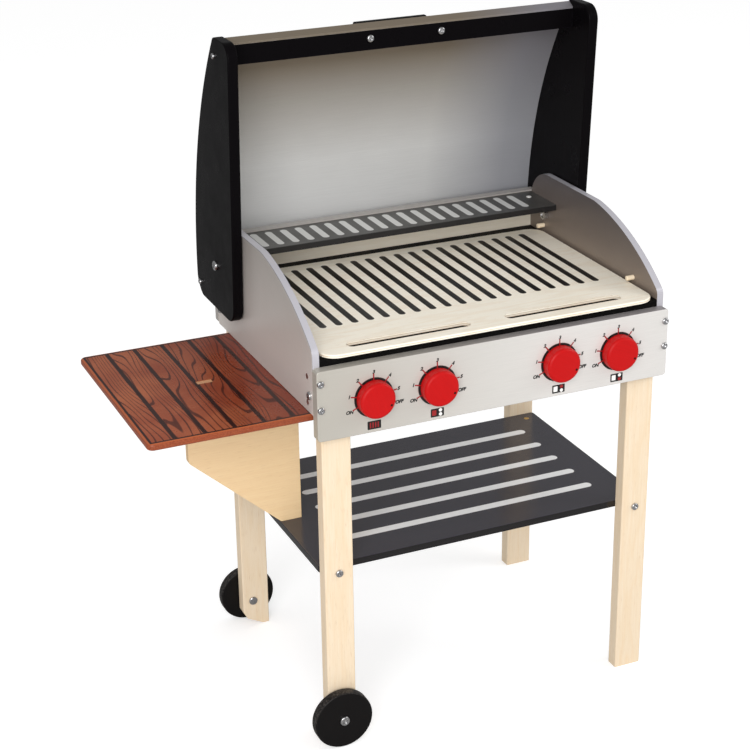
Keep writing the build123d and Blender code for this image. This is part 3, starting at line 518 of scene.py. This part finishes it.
brush, brush_in, brush_out = new_group(
    "brushed_lines",
    [("Point", "NodeSocketVector", (0, 0, 0)), ("Stretch", "NodeSocketVector", (0.02, 1.0, 3.0))],
    [("Lines", "NodeSocketFloat"), ("Cloud", "NodeSocketFloat")])
brush_noise = noise(brush, stretched(brush, brush_in.outputs["Point"], brush_in.outputs["Stretch"]), 1.6, 5.0, 0.65)
brush_cloud = noise(brush, brush_in.outputs["Point"], 0.012)
feed(brush_out, "Lines", steps(brush, brush_noise, 0.3, 0.7))
feed(brush_out, "Cloud", steps(brush, brush_cloud, 0.3, 0.7))

panel_material, panel_tree, panel_shader, panel_place = new_material("brushed_silver_print", 0.36)
panel_lines = use_group(panel_tree, brush, Point=panel_place, Stretch=(0.03, 1.0, 2.2))
panel_worn = use_group(panel_tree, wear, Point=panel_place, Width=0.0008, Amount=0.4)
panel_base = colour_mix(panel_tree, panel_lines.outputs["Lines"], ink(228, 225, 221), ink(217, 214, 210))
panel_base = over(panel_tree, panel_lines.outputs["Cloud"], 0.3, panel_base, ink(222, 220, 217))
panel_edge = steps(panel_tree, calc(panel_tree, "ABSOLUTE", facing(panel_tree)["Y"]), 0.8, 0.5)
panel_base = colour_mix(panel_tree, panel_edge, panel_base, ink(150, 145, 146))
panel_base = colour_mix(panel_tree, panel_worn.outputs["Edge"], panel_base, ink(180, 172, 162))
# Painted shade: the panel darkens towards its left end.
panel_left_painted_shade = steps(panel_tree, axes(panel_tree, panel_place)["X"], 130.0, -110.0, 0.0, 0.9)
feed(panel_shader, "Base Color", colour_mix(panel_tree, panel_left_painted_shade, panel_base, ink(180, 175, 164)))
feed(panel_shader, "Roughness", steps(panel_tree, panel_lines.outputs["Lines"], 0, 1, 0.3, 0.42))
panel_shader.inputs["Metallic"].default_value = 0.2
bump(panel_tree, panel_shader, panel_lines.outputs["Lines"], 0.00002)
dress(panel_material, "front_panel")


# The dials are printed on the front panel round each knob: a black disc, seven red ticks,
# five figures with ON and OFF, and below it a black plate that shows which burners it serves.

KNOBS_ACROSS = (-0.0535, 0.0057, 0.1243, 0.1835)
KNOB_UP = 0.3383
PANEL_FACE = -0.131081
PRINT_PROUD = 0.00004
DIAL_RADIUS = 0.0181
TICK_ANGLES = (204, 170, 130, 90, 50, 10, -20)
TICK_WORDS = ("ON", "1", "2", "3", "4", "5", "OFF")
TICK_FROM, TICK_TO = 0.0150, 0.0216
TICK_WIDE = 0.0012
WORD_RADIUS = 0.0231
LONG_WORD_OUT = 0.0016
WORD_SIZE = 0.0042
WORD_SLANT, WORD_WEIGHT = 0.25, 0.06
PLATE_DOWN = 0.0254
PLATE_WIDE, PLATE_HIGH = 0.0126, 0.0078
PLATE_CORNER, MARK_CORNER = 0.0007, 0.0003


def print_ink(name, colour):
    """Screen ink: slightly uneven in cover and in gloss."""
    material, tree, shader, place = new_material(name, 0.45)
    uneven = steps(tree, noise(tree, place, 1.4, 4.0), 0.35, 0.7)
    feed(shader, "Base Color", over(tree, uneven, 0.05, colour, ink(150, 140, 136)))
    feed(shader, "Roughness", steps(tree, uneven, 0, 1, 0.38, 0.55))
    bump(tree, shader, uneven, 0.00001)
    return material


black_ink = print_ink("black_ink", ink(10, 8, 8))
red_ink = print_ink("red_ink", ink(150, 10, 16))
white_ink = print_ink("white_ink", ink(240, 239, 236))


def join_prints(pieces, name, material):
    """Join flat shapes into one print on the panel's face."""
    bpy.ops.object.select_all(action="DESELECT")
    for piece in pieces:
        piece.select_set(True)
    bpy.context.view_layer.objects.active = pieces[0]
    bpy.ops.object.join()
    print_piece = bpy.context.object
    bpy.ops.object.transform_apply(location=True, rotation=True, scale=True)
    print_piece.name = name
    print_piece.data.materials.clear()
    print_piece.data.materials.append(material)
    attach(print_piece, "grill")


def flat_disc(across, up, radius, proud):
    """A thin printed disc."""
    bpy.ops.object.select_all(action="DESELECT")
    bpy.ops.mesh.primitive_circle_add(vertices=72, radius=radius, fill_type="NGON", rotation=(radians(90), 0, 0),
                                      location=(across, PANEL_FACE - proud, up))
    return bpy.context.object


def flat_bar(across, up, wide, high, proud, turn=0.0, corner=0.0):
    """A thin printed rectangle, with round corners if they are given."""
    bpy.ops.object.select_all(action="DESELECT")
    bpy.ops.mesh.primitive_plane_add(size=1.0, rotation=(radians(90), 0, 0))
    bar = bpy.context.object
    bar.scale = (wide, high, 1.0)
    bpy.ops.object.transform_apply(location=False, rotation=False, scale=True)
    if corner:
        bpy.ops.object.mode_set(mode="EDIT")
        bpy.ops.mesh.bevel(offset=corner, segments=4, affect="VERTICES")
        bpy.ops.object.mode_set(mode="OBJECT")
    aim = Matrix.Rotation(turn, 4, "Y") @ Matrix.Rotation(radians(90), 4, "X")
    bar.matrix_world = Matrix.Translation((across, PANEL_FACE - proud, up)) @ aim
    return bar


def flat_word(text, across, up, size, proud):
    """A printed word or figure, centred on its place."""
    bpy.ops.object.select_all(action="DESELECT")
    bpy.ops.object.text_add(rotation=(radians(90), 0, 0), location=(across, PANEL_FACE - proud, up))
    word = bpy.context.object
    word.data.body = text
    word.data.size = size
    word.data.shear = WORD_SLANT
    word.data.offset = size * WORD_WEIGHT
    word.data.align_x = "CENTER"
    word.data.align_y = "CENTER"
    bpy.ops.object.convert(target="MESH")
    return bpy.context.object


# Each plate shows a grate and two burners, with what the knob serves in red; the first shows red bars.
BURNERS = (None, ("red", "white", "white"), ("white", "red", "white"), ("white", "white", "red"))
RED_BARS = (-0.0036, -0.0012, 0.0012, 0.0036)
RED_BAR_WIDE, RED_BAR_HIGH = 0.0012, 0.0052
MARK_ASIDE, MARK_UP = 0.0030, 0.0019
GRATE_WIDE, GRATE_HIGH = 0.0040, 0.0050
BURNER_RADIUS = 0.0016
for number, (across, burners) in enumerate(zip(KNOBS_ACROSS, BURNERS), start=1):
    ticks = []
    words = []
    for angle, text in zip(TICK_ANGLES, TICK_WORDS):
        way = Vector((cos(radians(angle)), sin(radians(angle))))
        tick_out = (TICK_FROM + TICK_TO) / 2
        ticks.append(flat_bar(across + tick_out * way.x, KNOB_UP + tick_out * way.y, TICK_TO - TICK_FROM, TICK_WIDE,
                              2 * PRINT_PROUD, turn=-radians(angle)))
        word_out = WORD_RADIUS + (LONG_WORD_OUT if len(text) > 1 else 0.0)
        words.append(flat_word(text, across + word_out * way.x, KNOB_UP + word_out * way.y, WORD_SIZE, PRINT_PROUD))
    plate_up = KNOB_UP - PLATE_DOWN
    disc = flat_disc(across, KNOB_UP, DIAL_RADIUS, PRINT_PROUD)
    plate = flat_bar(across, plate_up, PLATE_WIDE, PLATE_HIGH, PRINT_PROUD, corner=PLATE_CORNER)
    join_prints([disc, plate] + words, f"dial_{number}_black_print", black_ink)
    marks = {"red": [], "white": []}
    if burners:
        grate, upper, lower = burners
        marks[grate].append(flat_bar(across - MARK_ASIDE, plate_up, GRATE_WIDE, GRATE_HIGH, 2 * PRINT_PROUD,
                                     corner=MARK_CORNER))
        for burner, up in ((upper, plate_up + MARK_UP), (lower, plate_up - MARK_UP)):
            marks[burner].append(flat_disc(across + MARK_ASIDE, up, BURNER_RADIUS, 2 * PRINT_PROUD))
    else:
        marks["red"] = [flat_bar(across + aside, plate_up, RED_BAR_WIDE, RED_BAR_HIGH, 2 * PRINT_PROUD,
                                 corner=MARK_CORNER) for aside in RED_BARS]
    join_prints(ticks + marks["red"], f"dial_{number}_red_print", red_ink)
    if marks["white"]:
        join_prints(marks["white"], f"dial_{number}_white_print", white_ink)


# The cooking board is birch plywood with round corners, a rounded rim and two grip slots.
# Its upper face is printed with nineteen black bars, like a grate.

BOARD_BAR_MIDDLE = 10.4
BOARD_BARS = {"First": -70.0, "Pitch": 15.0, "Count": 19.0, "Half_length": 74.5, "Half_width": 3.2}
BOARD_PLY = 1.8
board_material, board_tree, board_shader, board_place, board_wood = birch(
    "birch_ply_board", ALONG_X, pale=(255, 250, 236), warm=(255, 236, 208), contrast=0.4, roughness=0.4)
board_axes = axes(board_tree, board_place)
board_normal = facing(board_tree)["Z"]
board_along = calc(board_tree, "SUBTRACT", board_axes["Y"], BOARD_BAR_MIDDLE)
board_bars = use_group(board_tree, bars, Across=board_axes["X"], Along=board_along, **BOARD_BARS)
board_print = calc(board_tree, "MULTIPLY", board_bars.outputs["Mask"], steps(board_tree, board_normal, 0.8, 0.95))
board_colour = colour_mix(board_tree, board_print, board_wood, ink(20, 17, 16))
board_layer = calc(board_tree, "MULTIPLY", board_axes["Z"], 2 * pi / BOARD_PLY)
board_plies = steps(board_tree, calc(board_tree, "SINE", board_layer), 0.1, 0.8)
board_edge = steps(board_tree, calc(board_tree, "ABSOLUTE", board_normal), 0.7, 0.4)
board_ply = calc(board_tree, "MULTIPLY", board_plies, board_edge)
feed(board_shader, "Base Color", over(board_tree, board_ply, 0.55, board_colour, ink(186, 138, 88)))
dress(board_material, "cooking_board")


# The bed is a board across the whole body, painted flat black. It shows through the grip slots.
# It lies on the legs, and the cooking board has rubbed the paint a little where it slides.

bed_material, bed_tree, bed_shader, bed_place, bed_base = painted(
    "black_bed_paint", ink(9, 8, 8), 0.6, ink(58, 54, 52), turn=ALONG_X, amount=0.35, flow=0.3)
bed_noise = noise(bed_tree, stretched(bed_tree, bed_place, (1.0, 0.06, 1.0)), 0.35, 5.0)
bed_rub = steps(bed_tree, bed_noise, 0.55, 0.75)
feed(bed_shader, "Base Color", over(bed_tree, bed_rub, 0.12, bed_base, ink(60, 56, 52)))
bed_shader.inputs["Specular IOR Level"].default_value = 0.1
dress(bed_material, "grill_bed")


# The warming rack is a narrow grey board behind the cooking board, with pale bars printed on it.
# It has a black front edge and is bolted between the side panels.

RACK_BAR_MIDDLE = 91.5
RACK_BARS = {"First": -70.0, "Pitch": 15.0, "Count": 19.0, "Half_length": 19.5, "Half_width": 3.4}
rack_material, rack_tree, rack_shader, rack_place, rack_base = painted(
    "rack_grey", ink(66, 65, 62), 0.34, ink(150, 146, 142), turn=ALONG_X, amount=0.3)
rack_axes = axes(rack_tree, rack_place)
rack_normal = facing(rack_tree)["Z"]
rack_along = calc(rack_tree, "SUBTRACT", rack_axes["Y"], RACK_BAR_MIDDLE)
rack_bars = use_group(rack_tree, bars, Across=rack_axes["X"], Along=rack_along, **RACK_BARS)
rack_print = calc(rack_tree, "MULTIPLY", rack_bars.outputs["Mask"], steps(rack_tree, rack_normal, 0.8, 0.95))
rack_colour = colour_mix(rack_tree, rack_print, rack_base, ink(214, 214, 211))
rack_side = steps(rack_tree, calc(rack_tree, "ABSOLUTE", rack_normal), 0.75, 0.45)
feed(rack_shader, "Base Color", colour_mix(rack_tree, rack_side, rack_colour, ink(28, 27, 28)))
dress(rack_material, "warming_rack")


# The rack's two barrel nuts have round white caps, turned over at the edge.
# They cover the holes that the nuts went in by.

CAP_RADIUS = 0.0026
CAP_HEIGHT = 0.0007
CAP_ROUND = 0.0003
NUT_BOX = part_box("rack_barrel_nuts")
cap_material, cap_tree, cap_shader, cap_place = new_material("white_nylon", 0.4)
cap_cloud = noise(cap_tree, cap_place, 0.8, 3.0)
feed(cap_shader, "Base Color", colour_mix(cap_tree, cap_cloud, ink(250, 249, 246), ink(234, 232, 227)))
feed(cap_shader, "Roughness", steps(cap_tree, cap_cloud, 0.3, 0.7, 0.34, 0.46))
bump(cap_tree, cap_shader, cap_cloud, 0.00001)
nut_radius = (NUT_BOX[1].y - NUT_BOX[0].y) / 2
for number, nut_middle in enumerate((NUT_BOX[0].x + nut_radius, NUT_BOX[1].x - nut_radius), start=1):
    bpy.ops.object.select_all(action="DESELECT")
    bpy.ops.mesh.primitive_cylinder_add(vertices=32, radius=CAP_RADIUS, depth=CAP_HEIGHT, location=(
        nut_middle, NUT_BOX[0].y + nut_radius, RACK_TOP / 1000 + CAP_HEIGHT / 2))
    cap = bpy.context.object
    bpy.ops.object.transform_apply(location=True)
    bpy.ops.object.mode_set(mode="EDIT")
    bpy.ops.mesh.bevel(offset=CAP_ROUND, segments=3, affect="EDGES")
    bpy.ops.object.mode_set(mode="OBJECT")
    bpy.ops.object.shade_smooth_by_angle(angle=radians(40))
    cap.name = f"rack_nut_cap_{number}"
    cap.data.materials.append(cap_material)
    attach(cap, "grill")


# Four short birch pegs in the side panels keep the cooking board down on its bed.
# They are turned from dowel, with a small round at the end and the grain along X.

peg_material = birch("birch_dowel", ALONG_X, pale=(250, 234, 208), warm=(234, 206, 162), contrast=0.5)[0]
dress(peg_material, "retaining_pegs", "table_dowels")


# The four knobs are turned wooden buttons, stained a strong red under a matt varnish.
# Each has a small black dot near its rim that points at the figures; all stand at OFF.

DOT_REACH = 12.6
DOT_ANGLE = radians(-24)
DOT_RADIUS, DOT_SOFT = 1.1, 0.1
for number, across in enumerate(KNOBS_ACROSS, start=1):
    knob_material, knob_tree, knob_shader, knob_place = new_material(f"red_knob_{number}", 0.42)
    knob_turned = turned(knob_tree, knob_place, (0, 0.3 * number, 0), shift=(17.0 * number, 0, 0))
    knob_wood = use_group(knob_tree, grain, Point=knob_turned, Ring_width=8.0, Contrast=1.0)
    knob_worn = use_group(knob_tree, wear, Point=knob_place, Width=0.0012, Amount=0.35)
    knob_axes = axes(knob_tree, knob_place)
    dot_aside = calc(knob_tree, "SUBTRACT", knob_axes["X"], across * 1000 + DOT_REACH * cos(DOT_ANGLE))
    dot_up = calc(knob_tree, "SUBTRACT", knob_axes["Z"], KNOB_UP * 1000 + DOT_REACH * sin(DOT_ANGLE))
    dot_reach = reach(knob_tree, dot_aside, dot_up)
    dot_round = steps(knob_tree, dot_reach, DOT_RADIUS + DOT_SOFT, DOT_RADIUS - DOT_SOFT)
    dot_mask = calc(knob_tree, "MULTIPLY", dot_round, steps(knob_tree, knob_axes["Y"], -139.0, -140.0))
    knob_colour = over(knob_tree, knob_wood.outputs["Streaks"], 0.3, ink(190, 7, 9), ink(160, 4, 6))
    knob_colour = colour_mix(knob_tree, knob_worn.outputs["Edge"], knob_colour, ink(236, 72, 66))
    feed(knob_shader, "Base Color", colour_mix(knob_tree, dot_mask, knob_colour, ink(30, 10, 10)))
    knob_shader.inputs["Specular IOR Level"].default_value = 0.2
    feed(knob_shader, "Roughness", steps(knob_tree, knob_worn.outputs["Smudges"], 0, 1, 0.36, 0.5))
    bump(knob_tree, knob_shader, knob_wood.outputs["Streaks"], 0.00003)
    dress(knob_material, f"knob_{number}")


# The hood's two boards are bowed behind and painted glossy black, as are its bars and its grip.
# The paint is a little thin at the edges and shows fine grain in the light.

black_material, _, black_shader, *_ = painted(
    "black_gloss_paint", ink(11, 9, 11), 0.3, ink(74, 74, 86), amount=0.4, flow=0.4)
black_shader.inputs["Specular IOR Level"].default_value = 0.04
dress(black_material, "lid_left_board", "lid_right_board", "lid_front_bar", "lid_rear_bar", "lid_handle_grip")


# The hood's sheet is thin metal, brushed along its width and bent to the boards' bow.
# Its front lip folds over the bar. Inside, painted reflection and shade make it darker and browner at the top, and
# darker and bluish on the right.

sheet_material, sheet_tree, sheet_shader, sheet_place = new_material("brushed_sheet", 0.4)
sheet_axes = axes(sheet_tree, sheet_place)
sheet_lines = use_group(sheet_tree, brush, Point=sheet_place, Stretch=(0.02, 2.0, 2.0))
sheet_base = colour_mix(sheet_tree, sheet_lines.outputs["Lines"], ink(222, 222, 221), ink(211, 211, 210))
sheet_base = over(sheet_tree, sheet_lines.outputs["Cloud"], 0.35, sheet_base, ink(230, 230, 229))
sheet_inside = steps(sheet_tree, facing(sheet_tree)["Y"], 0.1, -0.1)
# Painted reflection and shade on the inner face: brown towards the top, bluish towards the right.
sheet_top_painted_reflection = calc(sheet_tree, "MULTIPLY", steps(sheet_tree, sheet_axes["Z"], 470.0, 575.0), sheet_inside)
sheet_right_painted_reflection = calc(sheet_tree, "MULTIPLY", steps(sheet_tree, sheet_axes["X"], 120.0, 205.0, 0.0, 0.6), sheet_inside)
sheet_base = colour_mix(sheet_tree, sheet_top_painted_reflection, sheet_base, ink(122, 111, 96))
sheet_base = colour_mix(sheet_tree, sheet_right_painted_reflection, sheet_base, ink(134, 136, 150))
sheet_worn = use_group(sheet_tree, wear, Point=sheet_place, Width=0.0006, Amount=0.3)
feed(sheet_shader, "Base Color", colour_mix(sheet_tree, sheet_worn.outputs["Edge"], sheet_base, ink(206, 203, 208)))
feed(sheet_shader, "Roughness", steps(sheet_tree, sheet_lines.outputs["Lines"], 0, 1, 0.34, 0.48))
sheet_shader.inputs["Metallic"].default_value = 0.3
bump(sheet_tree, sheet_shader, sheet_lines.outputs["Lines"], 0.00002)
dress(sheet_material, "lid_sheet")


# The two wheels are turned wooden discs with round rims, painted black like the hood.
# They turn freely on their bolts; the tread is dull and scuffed from the floor.

WHEEL_MIDDLE = (-88.0, 28.0)
wheel_material, wheel_tree, wheel_shader, wheel_place, wheel_base = painted(
    "black_wheel_paint", ink(20, 18, 18), 0.36, ink(84, 78, 74), amount=0.6, flow=0.5)
wheel_shader.inputs["Specular IOR Level"].default_value = 0.15
wheel_axes = axes(wheel_tree, wheel_place)
wheel_aside = calc(wheel_tree, "SUBTRACT", wheel_axes["X"], WHEEL_MIDDLE[0])
wheel_up = calc(wheel_tree, "SUBTRACT", wheel_axes["Z"], WHEEL_MIDDLE[1])
wheel_rim = steps(wheel_tree, reach(wheel_tree, wheel_aside, wheel_up), 26.8, 27.6)
wheel_scuff = steps(wheel_tree, noise(wheel_tree, wheel_place, 0.5, 6.0, 0.7), 0.45, 0.7)
wheel_tread = calc(wheel_tree, "MULTIPLY", wheel_rim, wheel_scuff)
feed(wheel_shader, "Base Color", over(wheel_tree, wheel_tread, 0.6, wheel_base, ink(104, 98, 94)))
dress(wheel_material, "front_wheel", "rear_wheel")


# Nuts, washers, barrel nuts and the handle's posts are steel with a thin zinc coat.
# The coat is mottled, with duller patches. The barrel nuts of the legs and of the shelf are brass.


def plated(name, bright, dull, roughness):
    """Plated metal with a fine mottle."""
    material, tree, shader, place = new_material(name, roughness)
    mottle = add(tree, "ShaderNodeTexVoronoi", {"Vector": place, "Scale": 1.1}, feature="F1")
    cloud = noise(tree, place, 0.5, 4.0)
    mask = calc(tree, "MULTIPLY", steps(tree, mottle.outputs["Distance"], 0.1, 0.8), steps(tree, cloud, 0.3, 0.7))
    feed(shader, "Base Color", colour_mix(tree, mask, bright, dull))
    feed(shader, "Roughness", steps(tree, mask, 0, 1, roughness - 0.06, roughness + 0.12))
    shader.inputs["Metallic"].default_value = 1.0
    bump(tree, shader, cloud, 0.00002)
    return material


zinc = plated("zinc_plate", ink(214, 214, 216), ink(166, 164, 162), 0.3)
brass = plated("dull_brass", ink(214, 186, 120), ink(170, 138, 78), 0.36)
dress(zinc, "front_panel_barrel_nuts", "rack_barrel_nuts", "rack_bolts", "lid_pivot_nuts", "lid_pivot_washers",
      "axle_washers", "axle_nuts", "lid_handle_posts")
dress(brass, "leg_barrel_nuts", "shelf_barrel_nuts")


# The screws and bolts have round heads with a cross recess, pressed from wire and zinc plated.
# One is modelled for each size and set in every place of its kind, square to what it holds.


def pick_faces(piece, test):
    """In edit mode, select only the faces that pass a test."""
    bpy.ops.mesh.select_mode(type="FACE")
    bpy.ops.mesh.select_all(action="DESELECT")
    mesh = bmesh.from_edit_mesh(piece.data)
    for face in mesh.faces:
        face.select_set(test(face))
    bmesh.update_edit_mesh(piece.data)


def cross_head_screw(head, height, shank, length):
    """A screw that stands on z = 0: a head of a radius and height above, a shank of a radius and length below."""
    bpy.ops.object.select_all(action="DESELECT")
    bpy.ops.mesh.primitive_cylinder_add(vertices=40, radius=head, depth=height, location=(0, 0, height / 2))
    screw = bpy.context.object
    bpy.ops.object.transform_apply(location=True)
    bpy.ops.object.mode_set(mode="EDIT")
    pick_faces(screw, lambda face: face.normal.z > 0.9)
    bpy.ops.mesh.bevel(offset=height * 0.62, segments=5, affect="EDGES")
    pick_faces(screw, lambda face: face.normal.z < -0.9)
    bpy.ops.mesh.inset(thickness=head - shank)
    bpy.ops.mesh.extrude_region_move(TRANSFORM_OT_translate={"value": (0, 0, -length)})
    bpy.ops.object.mode_set(mode="OBJECT")
    for turn in (0, 90):
        bpy.ops.object.select_all(action="DESELECT")
        bpy.ops.mesh.primitive_cube_add(size=1.0, location=(0, 0, height * 0.8), rotation=(0, 0, radians(turn)))
        blade = bpy.context.object
        blade.scale = (head * 1.05, head * 0.24, height * 0.9)
        bpy.ops.object.transform_apply(location=True, rotation=True, scale=True)
        bpy.context.view_layer.objects.active = screw
        cut = screw.modifiers.new("cross", "BOOLEAN")
        cut.object = blade
        cut.operation = "DIFFERENCE"
        cut.solver = "EXACT"
        bpy.ops.object.modifier_apply(modifier="cross")
        bpy.data.objects.remove(blade)
    bpy.ops.object.select_all(action="DESELECT")
    screw.select_set(True)
    bpy.context.view_layer.objects.active = screw
    bpy.ops.object.shade_smooth_by_angle(angle=radians(40))
    screw.data.materials.append(zinc)
    return screw


def set_screws(model, name, node, body, places):
    """Copy a screw into each place: a point on the face, the way its head looks, and a turn."""
    for number, (point, way, turn) in enumerate(places, start=1):
        screw = model.copy()
        screw.data = model.data.copy()
        bpy.context.scene.collection.objects.link(screw)
        screw.name = f"{name}_{number}"
        aim = Vector(way).to_track_quat("Z", "Y").to_matrix().to_4x4()
        screw.data.transform(Matrix.Translation(point) @ aim @ Matrix.Rotation(radians(turn), 4, "Z"))
        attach(screw, body)
        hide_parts(node)
    bpy.data.objects.remove(model)


SIDE_LINE = (-0.1017, 0.2317)
OUTER_FACES = (-0.105, 0.235)
LEG_LINE = (-0.0849, 0.2149)
FRONT_LEG_MIDDLE, REAR_LEG_MIDDLE = -0.114881, 0.109919
set_screws(cross_head_screw(0.0032, 0.0022, 0.0015, 0.0210), "front_panel_screw", "front_panel_screws", "grill",
           [((x, PANEL_FACE, z), (0, -1, 0), 25 + 30 * n) for n, x in enumerate(SIDE_LINE) for z in (0.3350, 0.3587)])
set_screws(cross_head_screw(0.0036, 0.0022, 0.0020, 0.0180), "leg_bolt", "leg_bolts", "grill",
           [((x, y, 0.3430), (-1 if x < 0 else 1, 0, 0), 15 + 40 * n) for n, x in enumerate(OUTER_FACES)
            for y in (FRONT_LEG_MIDDLE, REAR_LEG_MIDDLE)])
set_screws(cross_head_screw(0.0036, 0.0022, 0.0020, 0.0248), "shelf_bolt", "shelf_bolts", "grill",
           [((x, y, 0.1722), (0, way, 0), 50 * n) for n, x in enumerate(LEG_LINE)
            for y, way in ((-0.121481, -1), (0.116519, 1))])
set_screws(cross_head_screw(0.0028, 0.0022, 0.0015, 0.0190), "back_panel_screw", "back_panel_screws", "grill",
           [((x, 0.123919, z), (0, 1, 0), 35 + 20 * n) for n, x in enumerate(SIDE_LINE) for z in (0.3580, 0.3950)])
HOOD_FACES = (-0.1156, 0.2456)
FRONT_BAR_SCREW = (0.062919, 0.59535)
REAR_BAR_SCREW = (0.132419, 0.3657)
set_screws(cross_head_screw(0.0026, 0.0021, 0.0015, 0.0230), "hood_bar_screw", "lid_bar_screws", "lid",
           [((x, y, z), (-1 if x < 0 else 1, 0, 0), 20 + 25 * n) for n, x in enumerate(HOOD_FACES)
            for y, z in (FRONT_BAR_SCREW, REAR_BAR_SCREW)])
set_screws(cross_head_screw(0.0034, 0.0022, 0.0018, 0.0300), "handle_screw", "lid_handle_screws", "lid",
           [((BODY_MIDDLE / 1000 + x, 0.057419, 0.5970), (0, -1, 0), 40 + 30 * n) for n, x in enumerate((-0.035, 0.035))])
set_screws(cross_head_screw(0.0046, 0.0022, 0.0030, 0.0208), "hood_pivot_bolt", "lid_pivot_bolts", "grill",
           [((x, 0.084919, 0.3965), (-1 if x < 0 else 1, 0, 0), 30 * n) for n, x in enumerate((-0.1158, 0.2458))])
set_screws(cross_head_screw(0.0046, 0.0022, 0.0030, 0.0250), "wheel_bolt", "axle_bolts", "grill",
           [((WHEEL_MIDDLE[0] / 1000, y, WHEEL_MIDDLE[1] / 1000), (0, way, 0), turn)
            for y, way, turn in ((-0.133681, -1, 20), (0.128719, 1, 65))])
for number, across in enumerate(KNOBS_ACROSS, start=1):
    set_screws(cross_head_screw(0.0045, 0.0022, 0.0020, 0.0160), f"knob_{number}_screw", f"knob_{number}_bolt",
               f"knob_{number}", [((across, -0.121181, KNOB_UP), (0, 1, 0), 22 * number)])
